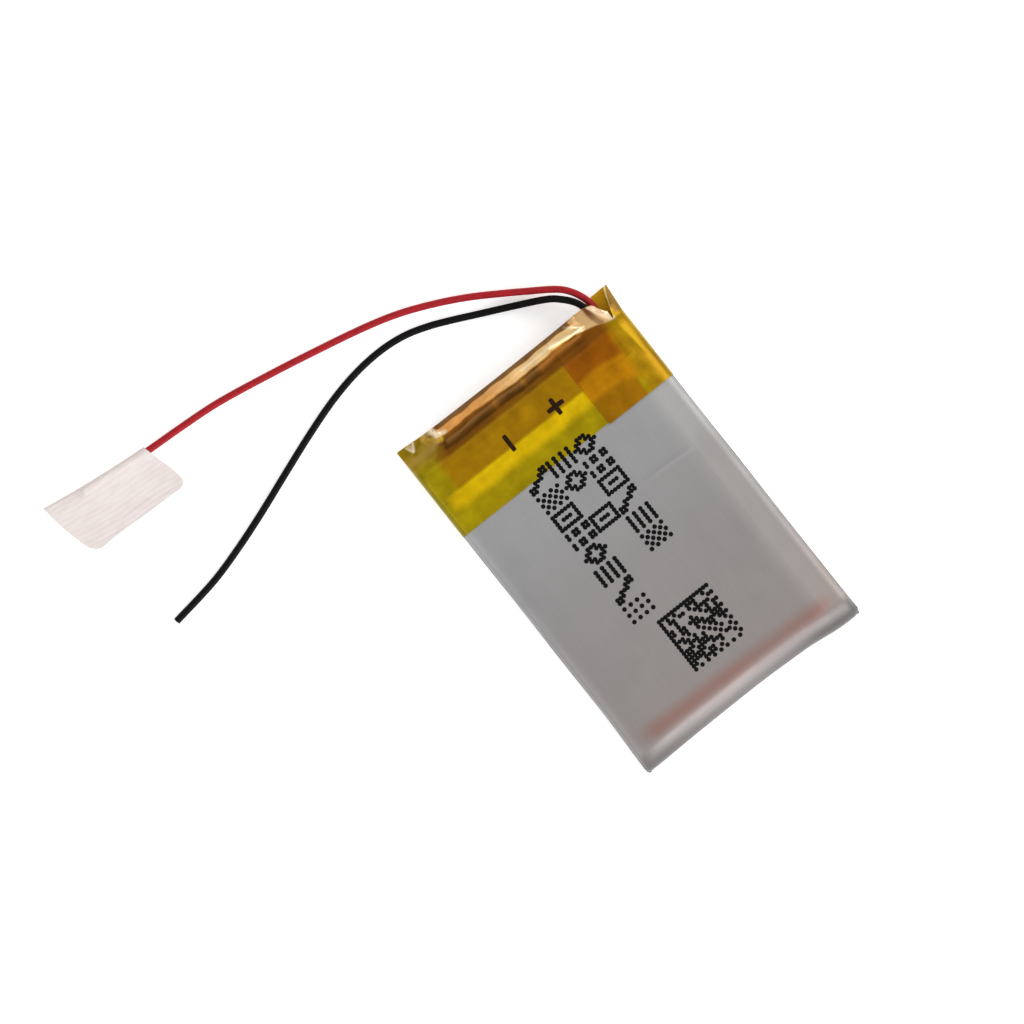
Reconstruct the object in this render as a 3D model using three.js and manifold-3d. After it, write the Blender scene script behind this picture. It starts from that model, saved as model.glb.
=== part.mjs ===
// A small lithium-polymer pouch cell, 3.3 x 20 x 29 mm, with its protection board standing on edge
// across the terminal end, amber tape round that end, and two flying leads.
//
// Millimetres. X runs across the width, Y along the length towards the terminals and Z up through
// the thickness to the printed face. The origin is under the middle of the cell, on its back.

import * as THREE from 'three';
import { mergeVertices } from 'three/addons/utils/BufferGeometryUtils.js';
import Module from 'manifold-3d';

const wasm = await Module();
wasm.setup();

// Driving dimensions of the whole pack.
const OVERALL_LENGTH = 30.8;
const OVERALL_WIDTH = 20;
const FACE_HEIGHT = 3.2;
const FILM = 0.11;
const TAPE = 0.05;
const GAP = 0.01;
const ARC_SEGMENTS = 6;

// Levels across the width, from the outside inwards: tape, cover ply, cup ply, cup wall.
const COLLAR_HALF_WIDTH = OVERALL_WIDTH / 2;
const COVER_HALF_WIDTH = COLLAR_HALF_WIDTH - TAPE - GAP;
const CUP_PLY_HALF_WIDTH = COVER_HALF_WIDTH - FILM - GAP;
const CUP_HALF_WIDTH = CUP_PLY_HALF_WIDTH - FILM - GAP;

// Levels through the thickness: tape, cover film, cup flange.
const COVER_BASE = TAPE + GAP;
const COVER_TOP = COVER_BASE + FILM;
const FLANGE_BASE = COVER_TOP + GAP;
const FLANGE_TOP = FLANGE_BASE + FILM;

// Levels along the length.
const PACK_END = OVERALL_LENGTH / 2;
const FOOT_END = -OVERALL_LENGTH / 2;
const FLANGE_FOOT = FOOT_END + FILM + GAP;
const CUP_FOOT = FLANGE_FOOT + 0.1;
const CUP_END = 13;
const CUP_END_PLY = CUP_END + GAP;
const COVER_END_PLY = CUP_END_PLY + FILM + GAP;

// Formed cup of the pouch.
const FOOT_RADIUS = 2.6;
const SHOULDER_RADIUS = 0.7;
const SIDE_RADIUS = 0.9;
const SIDE_SEAL_HEIGHT = 2.5;
const SIDE_SEAL_FOOT = FOOT_END + 0.6;
const END_SEAL_HEIGHT = 2.3;
const END_SEAL_HALF_WIDTH = 8.9;

// Flat-wound electrode stack: sheet thicknesses, and how far each one stops short of the separator.
const CATHODE = 0.13;
const ANODE = 0.12;
const SEPARATOR = 0.02;
const SHEET_GAP = 0.005;
const CORE_HALF_GAP = 0.12;
const SEPARATOR_SPAN = [-12.4, 12];
const ANODE_SETBACK = 0.2;
const CATHODE_SETBACK = 0.4;
const END_TAPE = 0.04;

// Terminal tabs and the sealing film round them.
const TAB = 0.1;
const TAB_WIDTH = 2;
const TAB_ROOT = 3;
const SEALANT = 0.04;
const SEALANT_WIDTH = 3.2;
const TERMINALS = [
  { name: 'positive', x: 1.5 },
  { name: 'negative', x: -2.9 },
];

// Protection board, standing on its long edge.
const BOARD_SPAN = [-6.7, 5.9];
const BOARD_HEIGHTS = [0.35, 2.8];
const BOARD_THICKNESS = 0.6;
const BOARD_NOTCH = 0.35;
const PLATE_WIDTH = 2.6;
const PLATE_HEIGHT = 1.5;
const BOARD_TAPE_FACE = PACK_END - TAPE - GAP - TAPE;
const TAB_FACE = BOARD_TAPE_FACE - GAP - TAB;
const PLATE_FACE = TAB_FACE - GAP - TAB;
const BOARD_OUTER_FACE = PLATE_FACE - GAP;
const BOARD_INNER_FACE = BOARD_OUTER_FACE - BOARD_THICKNESS;

// Amber tape collar round the terminal end.
const COLLAR_EDGE = 7.4;
const OVERLAP_SPAN = [3.9, 7.6];
const BOARD_TAPE_EDGE = 10.6;
const LEAD_MOUTH = [7.35, 8.95];

// Flying leads: the routes run from the board's solder joints to the free ends.
const LEAD_DIAMETER = 0.55;
const CORE_DIAMETER = 0.26;
const CORE_LENGTH = 1.2;
const LEAD_SIDES = 8;
const LEAD_STEPS = 40;
const LEAD_START = 5.5;
const LEAD_DEPTH = BOARD_INNER_FACE - GAP - LEAD_DIAMETER / 2;
const POSITIVE_ROUTE = [
  [LEAD_START, LEAD_DEPTH, 1.05], [6.3, 14.1, 1.07], [7.2, 13.95, 1.15], [7.95, 14.1, 1.27],
  [8.33, 14.6, 1.4], [8.42, 15.2, 1.49], [8.35, 15.7, 1.5], [8.18, 16.25, 1.46], [7.87, 16.87, 1.35],
  [7.4, 17.5, 1.2], [6.75, 18.05, 1.03], [6, 18.57, 0.85], [5.3, 19.03, 0.7], [3.91, 19.95, 0.48],
  [1.6, 21.4, 0.3], [-0.74, 22.62, 0.28], [-3.35, 23.72, 0.28], [-6.19, 24.55, 0.28],
  [-10.13, 25.42, 0.28], [-14.07, 26.2, 0.28], [-18.13, 26.89, 0.3], [-21.3, 27.16, 0.36],
  [-24.5, 27.34, 0.42], [-27, 27.585, 0.42], [-30.2, 27.9, 0.42],
];
const NEGATIVE_ROUTE = [
  [LEAD_START, LEAD_DEPTH, 2.1], [6.1, 14.08, 2.1], [6.8, 14, 2.08], [7.4, 14.2, 2.03],
  [7.74, 14.7, 1.95], [7.83, 15.3, 1.86], [7.7, 15.85, 1.78], [7.4, 16.38, 1.62],
  [6.96, 16.89, 1.4], [6.4, 17.42, 1.1], [5.67, 17.87, 0.9], [4.49, 18.47, 0.64],
  [2.82, 19.28, 0.4], [1.15, 20.07, 0.29], [-0.52, 20.87, 0.28], [-2.21, 21.6, 0.28],
  [-4.07, 22.17, 0.28], [-6.2, 22.39, 0.28], [-8.64, 22.23, 0.28], [-11.35, 21.67, 0.28],
  [-14.42, 20.7, 0.28], [-17.62, 19.54, 0.28], [-20.89, 18.33, 0.28], [-24, 17.3, 0.28],
  [-26.95, 16.52, 0.28], [-30.85, 15.92, 0.28],
];

// Folded white tape flag on the end of the positive lead.
const FLAG_PLY = 0.12;
const FLAG_OUTLINE = [[-24.67, 27.79], [-33.46, 28.84], [-32.4, 23.74], [-23.85, 23.5]];
const FLAG_WIRE_START = [-24.5, 27.34];
const FLAG_WIRE_END = [-30.2, 27.9];
const FLAG_WIRE_HEIGHT = 0.42;
const FLAG_SPAN = 5.6;

const X_AXIS = new THREE.Vector3(1, 0, 0);
const Y_AXIS = new THREE.Vector3(0, 1, 0);
const Z_AXIS = new THREE.Vector3(0, 0, 1);

// Plain solids: a box from its limits, and outlines stretched along each axis.

function box([x0, x1], [y0, y1], [z0, z1]) {
  const geometry = new THREE.BoxGeometry(x1 - x0, y1 - y0, z1 - z0);
  return geometry.translate((x0 + x1) / 2, (y0 + y1) / 2, (z0 + z1) / 2);
}

function extrude(shape, depth) {
  return new THREE.ExtrudeGeometry(shape, { depth, bevelEnabled: false, curveSegments: ARC_SEGMENTS });
}

// An outline drawn in (Y, Z), stretched from x0 to x1.
function alongX(shape, [x0, x1]) {
  const turn = new THREE.Matrix4().makeBasis(Y_AXIS, Z_AXIS, X_AXIS);
  return extrude(shape, x1 - x0).applyMatrix4(turn).translate(x0, 0, 0);
}

// An outline drawn in (X, Z), stretched from y0 to y1.
function alongY(shape, [y0, y1]) {
  const turn = new THREE.Matrix4().makeBasis(X_AXIS, Z_AXIS, Y_AXIS.clone().negate());
  return extrude(shape, y1 - y0).applyMatrix4(turn).translate(0, y1, 0);
}

// An outline drawn in (X, Y), stretched from z0 to z1.
function alongZ(shape, [z0, z1]) {
  return extrude(shape, z1 - z0).translate(0, 0, z0);
}

function outlineOf(points) {
  return new THREE.Shape(points.map(([u, v]) => new THREE.Vector2(u, v)));
}

// Joining and cutting.

function toSolid(geometry) {
  const bare = geometry.clone();
  bare.deleteAttribute('normal');
  bare.deleteAttribute('uv');
  const merged = mergeVertices(bare, 1e-5);
  return new wasm.Manifold(new wasm.Mesh({
    numProp: 3,
    vertProperties: new Float32Array(merged.attributes.position.array),
    triVerts: new Uint32Array(merged.index.array),
  }));
}

function toGeometry(solid) {
  const { vertProperties, triVerts } = solid.getMesh();
  const geometry = new THREE.BufferGeometry();
  geometry.setAttribute('position', new THREE.BufferAttribute(vertProperties, 3));
  geometry.setIndex(new THREE.BufferAttribute(triVerts, 1));
  geometry.computeVertexNormals();
  return geometry;
}

function join(...geometries) {
  return toGeometry(geometries.map(toSolid).reduce((sum, solid) => sum.add(solid)));
}

function cut(geometry, ...tools) {
  return toGeometry(tools.map(toSolid).reduce((left, tool) => left.subtract(tool), toSolid(geometry)));
}

function common(geometry, other) {
  return toGeometry(toSolid(geometry).intersect(toSolid(other)));
}

// The points of a path moved sideways by a distance, to its left where that is positive, with
// mitred corners.
function shiftedPath(points, distance) {
  const path = points.map(([u, v]) => new THREE.Vector2(u, v));
  const normals = path.slice(1).map((point, i) => {
    const along = point.clone().sub(path[i]).normalize();
    return new THREE.Vector2(-along.y, along.x);
  });
  return path.map((point, i) => {
    const before = normals[Math.max(i - 1, 0)];
    const after = normals[Math.min(i, normals.length - 1)];
    const mitre = before.clone().add(after);
    mitre.multiplyScalar(distance / (1 + before.dot(after)));
    return [point.x + mitre.x, point.y + mitre.y];
  });
}

// A strip of constant thickness that follows a bent path.
function ribbon(points, thickness) {
  const left = shiftedPath(points, thickness / 2);
  const right = shiftedPath(points, -thickness / 2);
  return outlineOf([...right, ...left.reverse()]);
}

function makeMesh(name, geometry, color, roughness, metalness = 0) {
  const mesh = new THREE.Mesh(geometry, new THREE.MeshStandardMaterial({ color, roughness, metalness }));
  mesh.name = name;
  return mesh;
}

// Pouch: a formed cup and a flat cover of aluminium laminate film. Their sealed edges are folded up
// against the cup's walls, the cup's ply inside the cover's.

// The cup's side view, drawn in (Y, Z), with every wall moved in by the inset.
function cupSideView(inset, base) {
  const foot = CUP_FOOT + inset;
  const end = CUP_END - inset;
  const top = FACE_HEIGHT - inset;
  const footRadius = FOOT_RADIUS - inset;
  const shoulderRadius = SHOULDER_RADIUS - inset;
  const shape = new THREE.Shape();
  shape.moveTo(foot, base);
  shape.lineTo(end, base);
  shape.absarc(end - shoulderRadius, top - shoulderRadius, shoulderRadius, 0, Math.PI / 2, false);
  shape.absarc(foot + footRadius, top - footRadius, footRadius, Math.PI / 2, Math.PI, false);
  return shape;
}

// The cup's end view, drawn in (X, Z).
function cupEndView(inset, base) {
  const half = CUP_HALF_WIDTH - inset;
  const top = FACE_HEIGHT - inset;
  const radius = SIDE_RADIUS - inset;
  const shape = new THREE.Shape();
  shape.moveTo(-half, base);
  shape.lineTo(half, base);
  shape.absarc(half - radius, top - radius, radius, 0, Math.PI / 2, false);
  shape.absarc(radius - half, top - radius, radius, Math.PI / 2, Math.PI, false);
  return shape;
}

function cupBlock(inset, base) {
  const side = alongX(cupSideView(inset, base), [-COLLAR_HALF_WIDTH, COLLAR_HALF_WIDTH]);
  return common(side, alongY(cupEndView(inset, base), [FOOT_END, PACK_END]));
}

// The way a tab takes out of the winding, down to the seal, up inside the folded seal, over the
// board's top edge and down its outer face, drawn in (Y, Z).
const CAVITY_MIDDLE = (COVER_TOP + FACE_HEIGHT - FILM) / 2;
const SEALED_TAB = SEALANT + GAP + TAB + GAP + SEALANT;
const TAB_SEAL_LEVEL = FLANGE_BASE + SEALED_TAB / 2;
const TAB_SEAL_FACE = COVER_END_PLY + SEALED_TAB / 2;
const TAB_OUTER_FACE = TAB_FACE + TAB / 2;
const TAB_TOP = BOARD_HEIGHTS[1] + 0.15;
const TAB_END = 1;
const SEALANT_ROOT = CUP_END - FILM;
const SEALANT_TOP = END_SEAL_HEIGHT + 0.15;
const TAB_PATH = [
  [TAB_ROOT, CAVITY_MIDDLE], [SEPARATOR_SPAN[1] + 0.15, CAVITY_MIDDLE], [12.6, TAB_SEAL_LEVEL],
  [TAB_SEAL_FACE, TAB_SEAL_LEVEL], [TAB_SEAL_FACE, END_SEAL_HEIGHT + 0.25], [14.2, TAB_TOP],
  [15, TAB_TOP], [TAB_OUTER_FACE, TAB_TOP - 0.2], [TAB_OUTER_FACE, TAB_END],
];
const SEALANT_PATH = [
  [SEALANT_ROOT, TAB_SEAL_LEVEL], [TAB_SEAL_FACE, TAB_SEAL_LEVEL], [TAB_SEAL_FACE, SEALANT_TOP],
];
const SEAL_PASSAGE_PATH = [[12.5, TAB_SEAL_LEVEL], ...SEALANT_PATH.slice(1)];

function spanAbout(x, width) {
  return [x - width / 2, x + width / 2];
}

// The room that a tab and its sealing film take in the seal.
function sealPassage(x) {
  return alongX(ribbon(SEAL_PASSAGE_PATH, SEALED_TAB + 2 * GAP), spanAbout(x, SEALANT_WIDTH + 2 * GAP));
}

function makeCup() {
  const rim = box([-CUP_PLY_HALF_WIDTH, CUP_PLY_HALF_WIDTH], [FLANGE_FOOT, CUP_END_PLY + FILM],
    [FLANGE_BASE, FLANGE_TOP]);
  const endPly = box([-END_SEAL_HALF_WIDTH, END_SEAL_HALF_WIDTH], [CUP_END_PLY, CUP_END_PLY + FILM],
    [FLANGE_BASE, END_SEAL_HEIGHT]);
  const sidePlies = [-1, 1].map((side) => {
    const span = [side * (CUP_PLY_HALF_WIDTH - FILM), side * CUP_PLY_HALF_WIDTH].sort((a, b) => a - b);
    return box(span, [SIDE_SEAL_FOOT, CUP_END], [FLANGE_BASE, SIDE_SEAL_HEIGHT]);
  });
  // Over each tab the flange is raised in a small bridge.
  const bridges = TERMINALS.map(({ x }) => {
    const base = FLANGE_BASE + SEALED_TAB + GAP;
    return box(spanAbout(x, SEALANT_WIDTH + 2 * FILM), [CUP_END - FILM, CUP_END_PLY + FILM],
      [base, base + FILM]);
  });
  const outside = join(cupBlock(0, FLANGE_BASE), rim, endPly, ...sidePlies, ...bridges);
  const passages = TERMINALS.map(({ x }) => sealPassage(x));
  return makeMesh('pouch_cup', cut(outside, cupBlock(FILM, -1), ...passages), '#9d9893', 0.42, 0.35);
}

function makeCover() {
  const sheet = box([-COVER_HALF_WIDTH, COVER_HALF_WIDTH], [FOOT_END, COVER_END_PLY + FILM],
    [COVER_BASE, COVER_TOP]);
  const footFold = box([-COVER_HALF_WIDTH, COVER_HALF_WIDTH], [FOOT_END, FOOT_END + FILM],
    [COVER_BASE, FLANGE_TOP]);
  const endPly = box([-END_SEAL_HALF_WIDTH, END_SEAL_HALF_WIDTH], [COVER_END_PLY, COVER_END_PLY + FILM],
    [COVER_BASE, END_SEAL_HEIGHT]);
  const sidePlies = [-1, 1].map((side) => {
    const span = [side * (COVER_HALF_WIDTH - FILM), side * COVER_HALF_WIDTH].sort((a, b) => a - b);
    return box(span, [SIDE_SEAL_FOOT, CUP_END], [COVER_BASE, SIDE_SEAL_HEIGHT]);
  });
  // Round each tab the folded seal bulges outwards.
  const bulges = TERMINALS.map(({ x }) => box(spanAbout(x, SEALANT_WIDTH + 2 * FILM),
    [COVER_END_PLY, COVER_END_PLY + SEALED_TAB + GAP + FILM], [COVER_BASE, END_SEAL_HEIGHT]));
  const outside = join(sheet, footFold, endPly, ...sidePlies, ...bulges);
  return makeMesh('pouch_cover', cut(outside, ...TERMINALS.map(({ x }) => sealPassage(x))),
    '#9d9893', 0.42, 0.35);
}

// Electrode stack: cathode, separator, anode and separator rolled flat together round a thin gap.

const LAYERS = [
  { name: 'cathode_sheet', thickness: CATHODE, setback: CATHODE_SETBACK, color: '#3a3a3c' },
  { name: 'inner_separator', thickness: SEPARATOR, setback: 0, color: '#f2f2ee' },
  { name: 'anode_sheet', thickness: ANODE, setback: ANODE_SETBACK, color: '#24262a' },
  { name: 'outer_separator', thickness: SEPARATOR, setback: 0, color: '#f2f2ee' },
];
const WINDING_PITCH = CATHODE + ANODE + 2 * SEPARATOR + LAYERS.length * SHEET_GAP;
const WINDING_RADIUS = (FACE_HEIGHT - FILM - COVER_TOP) / 2 - END_TAPE - 2 * GAP;
const WINDING_STRAIGHT = CUP_HALF_WIDTH - FILM - WINDING_RADIUS - 0.05;
const WINDING_TURNS = 3.1;

// A point of the roll after so many turns, drawn in (X, Z) about the cavity's middle. Each turn is a
// straight run under the core, half a circle, a straight run over it and half a circle back.
function rollPoint(turns, offset) {
  const radius = CORE_HALF_GAP + WINDING_PITCH * turns + offset;
  const quarter = Math.floor((turns % 1) * 4);
  const part = ((turns % 1) * 4) % 1;
  if (quarter === 0) {
    return [WINDING_STRAIGHT * (2 * part - 1), -radius];
  }
  if (quarter === 2) {
    return [WINDING_STRAIGHT * (1 - 2 * part), radius];
  }
  const side = quarter === 1 ? 1 : -1;
  const angle = (part - 0.5) * Math.PI;
  return [side * (WINDING_STRAIGHT + radius * Math.cos(angle)), side * radius * Math.sin(angle)];
}

function rollOutline(offset, thickness) {
  const steps = [];
  for (let quarter = 0; quarter < WINDING_TURNS * 4; quarter += 1) {
    const pieces = quarter % 2 === 1 ? ARC_SEGMENTS : 1;
    for (let piece = 0; piece < pieces; piece += 1) {
      steps.push((quarter + piece / pieces) / 4);
    }
  }
  steps.push(WINDING_TURNS);
  const inner = steps.map((turns) => rollPoint(turns, offset));
  const outer = steps.map((turns) => rollPoint(turns, offset + thickness));
  return outlineOf([...outer, ...inner.reverse()]);
}

function makeWinding() {
  const winding = new THREE.Group();
  winding.position.set(0, 0, CAVITY_MIDDLE);
  let offset = 0;
  for (const { name, thickness, setback, color } of LAYERS) {
    const span = [SEPARATOR_SPAN[0] + setback, SEPARATOR_SPAN[1] - setback];
    winding.add(makeMesh(name, alongY(rollOutline(offset, thickness), span), color, 0.9));
    offset += thickness + SHEET_GAP;
  }
  const endTapeTop = -WINDING_RADIUS - GAP;
  const endTape = box([-4, 5], [-8, 8], [endTapeTop - END_TAPE, endTapeTop]);
  winding.add(makeMesh('winding_end_tape', endTape, '#3f9a63', 0.4));
  return winding;
}

// Tabs: aluminium for the positive electrode and nickel for the negative one, each with sealing film.

function makeTerminal({ name, x }) {
  const terminal = new THREE.Group();
  terminal.position.set(x, 0, 0);
  const tab = alongX(ribbon(TAB_PATH, TAB), spanAbout(0, TAB_WIDTH));
  const tabColor = name === 'positive' ? '#d5d6d8' : '#b9b4a8';
  terminal.add(makeMesh(`${name}_tab`, tab, tabColor, 0.35, 1));
  const film = alongX(ribbon(SEALANT_PATH, SEALED_TAB), spanAbout(0, SEALANT_WIDTH));
  const slot = alongX(ribbon(TAB_PATH, TAB + 2 * GAP), spanAbout(0, TAB_WIDTH + 2 * GAP));
  terminal.add(makeMesh(`${name}_tab_sealant`, cut(film, slot), '#e8e4d2', 0.5));
  const middle = (BOARD_HEIGHTS[0] + BOARD_HEIGHTS[1]) / 2;
  const plate = box(spanAbout(0, PLATE_WIDTH), [PLATE_FACE, PLATE_FACE + TAB], spanAbout(middle, PLATE_HEIGHT));
  terminal.add(makeMesh(`${name}_weld_plate`, plate, '#b9b4a8', 0.3, 1));
  return terminal;
}

// Protection board with its parts on the inner face, which looks back at the cell.

function makeBoard() {
  const [left, right] = BOARD_SPAN;
  const [low, high] = BOARD_HEIGHTS;
  const outline = outlineOf([
    [left, low], [right, low], [right, high - BOARD_NOTCH], [right - BOARD_NOTCH, high - BOARD_NOTCH],
    [right - BOARD_NOTCH, high], [left, high],
  ]);
  const board = alongY(outline, [BOARD_INNER_FACE, BOARD_OUTER_FACE]);
  return makeMesh('protection_board', board, '#2c5a3a', 0.45);
}

// A chip with three gull-wing legs along each long side.
function makeChip(name, x, [length, height, thickness]) {
  const legWidth = 0.35;
  const legReach = 0.35;
  const legThickness = 0.12;
  const seat = BOARD_INNER_FACE - GAP;
  const middle = (BOARD_HEIGHTS[0] + BOARD_HEIGHTS[1]) / 2;
  const body = box(spanAbout(0, length), [seat - thickness, seat - 0.05], spanAbout(0, height));
  const legs = [-1, 0, 1].map((place) => box(spanAbout((place * length) / 3, legWidth),
    [seat - legThickness, seat], spanAbout(0, height + 2 * legReach)));
  const chip = makeMesh(name, join(body, ...legs), '#1a1a1b', 0.55);
  chip.position.set(x, 0, middle);
  return chip;
}

// A small ceramic resistor or capacitor with a metal cap on each end.
function makePassive(name, x, z, thickness, color) {
  const length = 1;
  const height = 0.5;
  const cap = 0.25;
  const proud = 0.02;
  const seat = BOARD_INNER_FACE - GAP;
  const body = box(spanAbout(0, length - cap), [seat - thickness, seat - proud], spanAbout(0, height));
  const caps = [-1, 1].map((side) => box(spanAbout((side * (length - cap)) / 2, cap),
    [seat - thickness - proud, seat], spanAbout(0, height + 2 * proud)));
  const passive = makeMesh(name, join(body, ...caps), color, 0.5);
  passive.position.set(x, 0, z);
  return passive;
}

function makeBoardAssembly() {
  const assembly = new THREE.Group();
  assembly.add(makeBoard());
  assembly.add(makeChip('protection_controller', -4.9, [2.9, 1.3, 0.75]));
  assembly.add(makeChip('twin_switch', -0.9, [2.9, 1.5, 0.8]));
  assembly.add(makePassive('filter_resistor', 1.9, 2.25, 0.35, '#26282b'));
  assembly.add(makePassive('sense_resistor', 1.9, 1.55, 0.35, '#26282b'));
  assembly.add(makePassive('filter_capacitor', 1.9, 0.85, 0.45, '#a07a4e'));
  const insulator = box([BOARD_SPAN[0], BOARD_SPAN[1] - 1], [13.5, 13.55], [0.4, 2.35]);
  assembly.add(makeMesh('seal_insulator', insulator, '#d8c9a0', 0.8));
  return assembly;
}

// Leads: a bare core in a solder joint on the board, then a sleeve that runs to the free end.

function makeLead(name, route, color) {
  const lead = new THREE.Group();
  const [, depth, height] = route[0];
  const coreSpan = [LEAD_START - GAP - CORE_LENGTH, LEAD_START - GAP];
  const core = new THREE.CylinderGeometry(CORE_DIAMETER / 2, CORE_DIAMETER / 2, CORE_LENGTH, LEAD_SIDES);
  core.rotateZ(Math.PI / 2);
  const coreMesh = makeMesh(`${name}_lead_core`, core, '#c9c3b6', 0.35, 1);
  coreMesh.position.set((coreSpan[0] + coreSpan[1]) / 2, depth, height);
  lead.add(coreMesh);

  const solderRadii = [0.62, LEAD_DIAMETER, 0.5];
  const solderCentre = [LEAD_START - 0.65, BOARD_INNER_FACE - GAP, height];
  const dome = new THREE.SphereGeometry(1, 12, 8).scale(...solderRadii).translate(...solderCentre);
  const boardSide = box([0, 10], [BOARD_INNER_FACE - GAP, PACK_END], [-1, 4]);
  const bore = core.clone().scale(1, 1.15, 1.15).translate(...coreMesh.position.toArray());
  lead.add(makeMesh(`${name}_solder_joint`, cut(dome, boardSide, bore), '#c4c6c8', 0.3, 1));

  const section = new THREE.Shape();
  section.absarc(0, 0, LEAD_DIAMETER / 2, 0, 2 * Math.PI, false);
  const path = new THREE.CatmullRomCurve3(route.map((point) => new THREE.Vector3(...point)));
  const sleeve = new THREE.ExtrudeGeometry(section, {
    extrudePath: path, steps: LEAD_STEPS, curveSegments: LEAD_SIDES, bevelEnabled: false,
  });
  lead.add(makeMesh(`${name}_lead`, sleeve, color, 0.4));
  return lead;
}

// The flag is one strip folded over the lead and stuck to itself: a round fold with a flat tail.
function makeFlag() {
  const start = new THREE.Vector2(...FLAG_WIRE_START);
  const along = new THREE.Vector2(...FLAG_WIRE_END).sub(start);
  const boreRadius = LEAD_DIAMETER / 2 + 0.03;
  const foldRadius = FLAG_WIRE_HEIGHT;
  const tailTop = 2 * FLAG_PLY;
  const section = new THREE.Shape();
  section.moveTo(-FLAG_SPAN, 0);
  section.lineTo(0, 0);
  section.absarc(0, FLAG_WIRE_HEIGHT, foldRadius, -Math.PI / 2, Math.PI / 2, false);
  section.lineTo(-1.1, tailTop);
  section.lineTo(-FLAG_SPAN, tailTop);
  const length = 12;
  const strip = alongY(section, [-1, length - 1]);
  const bore = new THREE.CylinderGeometry(boreRadius, boreRadius, along.length() + 1.1, 12);
  bore.translate(0, (along.length() - 0.9) / 2, FLAG_WIRE_HEIGHT);
  const turn = Math.atan2(along.y, along.x) - Math.PI / 2;
  const folded = cut(strip, bore).rotateZ(turn).translate(start.x, start.y, 0);
  const flag = common(folded, alongZ(outlineOf(FLAG_OUTLINE), [-1, 2]));
  return makeMesh('lead_end_flag', flag, '#ebe3dd', 0.85);
}

// Amber tape: a strip over the board, and a collar wound round the terminal end over it.

function makeBoardTape() {
  const path = [
    [BOARD_TAPE_EDGE, FACE_HEIGHT + GAP + TAPE / 2], [12.5, FACE_HEIGHT + GAP + TAPE / 2],
    [13.35, 2.87], [14.2, TAB_TOP + 0.1], [15.05, TAB_TOP + 0.1],
    [BOARD_TAPE_FACE + TAPE / 2, TAB_TOP - 0.13], [BOARD_TAPE_FACE + TAPE / 2, 0.4],
  ];
  const strip = alongX(ribbon(path, TAPE), [-8, 8.4]);
  const leadWay = box([6.9, 9], [13.3, PACK_END + 1], [-1, 5]);
  return makeMesh('board_tape', cut(strip, leadWay), '#c98a16', 0.2);
}

function makeCollar() {
  const backLevel = TAPE / 2;
  const faceLevel = FACE_HEIGHT + GAP + TAPE / 2;
  const path = [
    [COLLAR_EDGE, backLevel], [15.15, backLevel], [PACK_END - TAPE / 2, 0.3],
    [PACK_END - TAPE / 2, TAB_TOP - 0.1], [15.1, TAB_TOP + 0.18], [14.2, TAB_TOP + 0.18], [13.35, 2.95],
    [12.55, faceLevel + TAPE + GAP], [10.5, faceLevel + TAPE + GAP], [10.35, faceLevel],
    [COLLAR_EDGE, faceLevel],
  ];
  const outer = alongX(outlineOf(shiftedPath(path, -TAPE / 2)), [-COLLAR_HALF_WIDTH, COLLAR_HALF_WIDTH]);
  const innerPath = shiftedPath(path, TAPE / 2);
  const mouth = COLLAR_EDGE - 1;
  const innerOutline = outlineOf([...innerPath, [mouth, faceLevel - TAPE / 2], [mouth, backLevel + TAPE / 2]]);
  const innerHalf = COLLAR_HALF_WIDTH - TAPE;
  const leadMouth = box(LEAD_MOUTH, [14.9, PACK_END + 1], [1, 5]);
  const shell = cut(outer, alongX(innerOutline, [-innerHalf, innerHalf]), leadMouth);
  const overlapLevel = faceLevel + TAPE / 2;
  const overlap = box(OVERLAP_SPAN, [COLLAR_EDGE, 10.3], [overlapLevel - TAPE / 2, overlapLevel + TAPE]);
  return makeMesh('tape_collar', join(shell, overlap), '#b98504', 0.18);
}

const cell = new THREE.Group();
cell.add(makeCup(), makeCover(), makeWinding(), ...TERMINALS.map(makeTerminal));

const pack = new THREE.Group();
pack.add(cell, makeBoardAssembly());
pack.add(makeLead('positive', POSITIVE_ROUTE, '#b3202c'), makeLead('negative', NEGATIVE_ROUTE, '#151412'));
pack.add(makeFlag(), makeBoardTape(), makeCollar());

export default pack;
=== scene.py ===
"""Pouch battery cell with an amber tape collar and two thin leads.

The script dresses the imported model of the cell: it loads it as a fixed frame, makes the
leads, the pouch film, the tapes, the paper flag and the ink marks around it, and gives every
part that stays in view or inside a finish of its own. Lengths are in millimetres in the
classes and in metres in Blender.
"""

import logging
import math
from dataclasses import dataclass
from enum import Enum
from typing import ClassVar

import bmesh
import bpy
import numpy as np
from mathutils import Matrix, Vector


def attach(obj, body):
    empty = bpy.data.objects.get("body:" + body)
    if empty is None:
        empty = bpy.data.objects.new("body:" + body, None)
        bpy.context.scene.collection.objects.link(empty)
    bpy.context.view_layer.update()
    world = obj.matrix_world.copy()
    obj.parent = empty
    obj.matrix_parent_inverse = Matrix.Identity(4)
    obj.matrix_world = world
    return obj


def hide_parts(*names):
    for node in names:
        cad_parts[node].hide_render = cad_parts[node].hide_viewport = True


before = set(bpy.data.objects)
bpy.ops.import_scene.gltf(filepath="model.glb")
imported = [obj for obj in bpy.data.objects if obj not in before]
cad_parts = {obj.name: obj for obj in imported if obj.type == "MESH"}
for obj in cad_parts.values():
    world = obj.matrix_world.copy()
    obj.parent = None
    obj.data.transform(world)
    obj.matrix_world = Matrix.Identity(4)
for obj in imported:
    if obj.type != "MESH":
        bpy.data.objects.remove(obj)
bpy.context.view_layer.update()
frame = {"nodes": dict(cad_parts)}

LOG = logging.getLogger("pouch_cell")
MM = 0.001
WELD = 0.0004
BODY = "root"
FILM_TINT = "film_tint"

# Most values of a noise lie between these two.
GRAIN_LOW, GRAIN_HIGH = 0.3, 0.7
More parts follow.
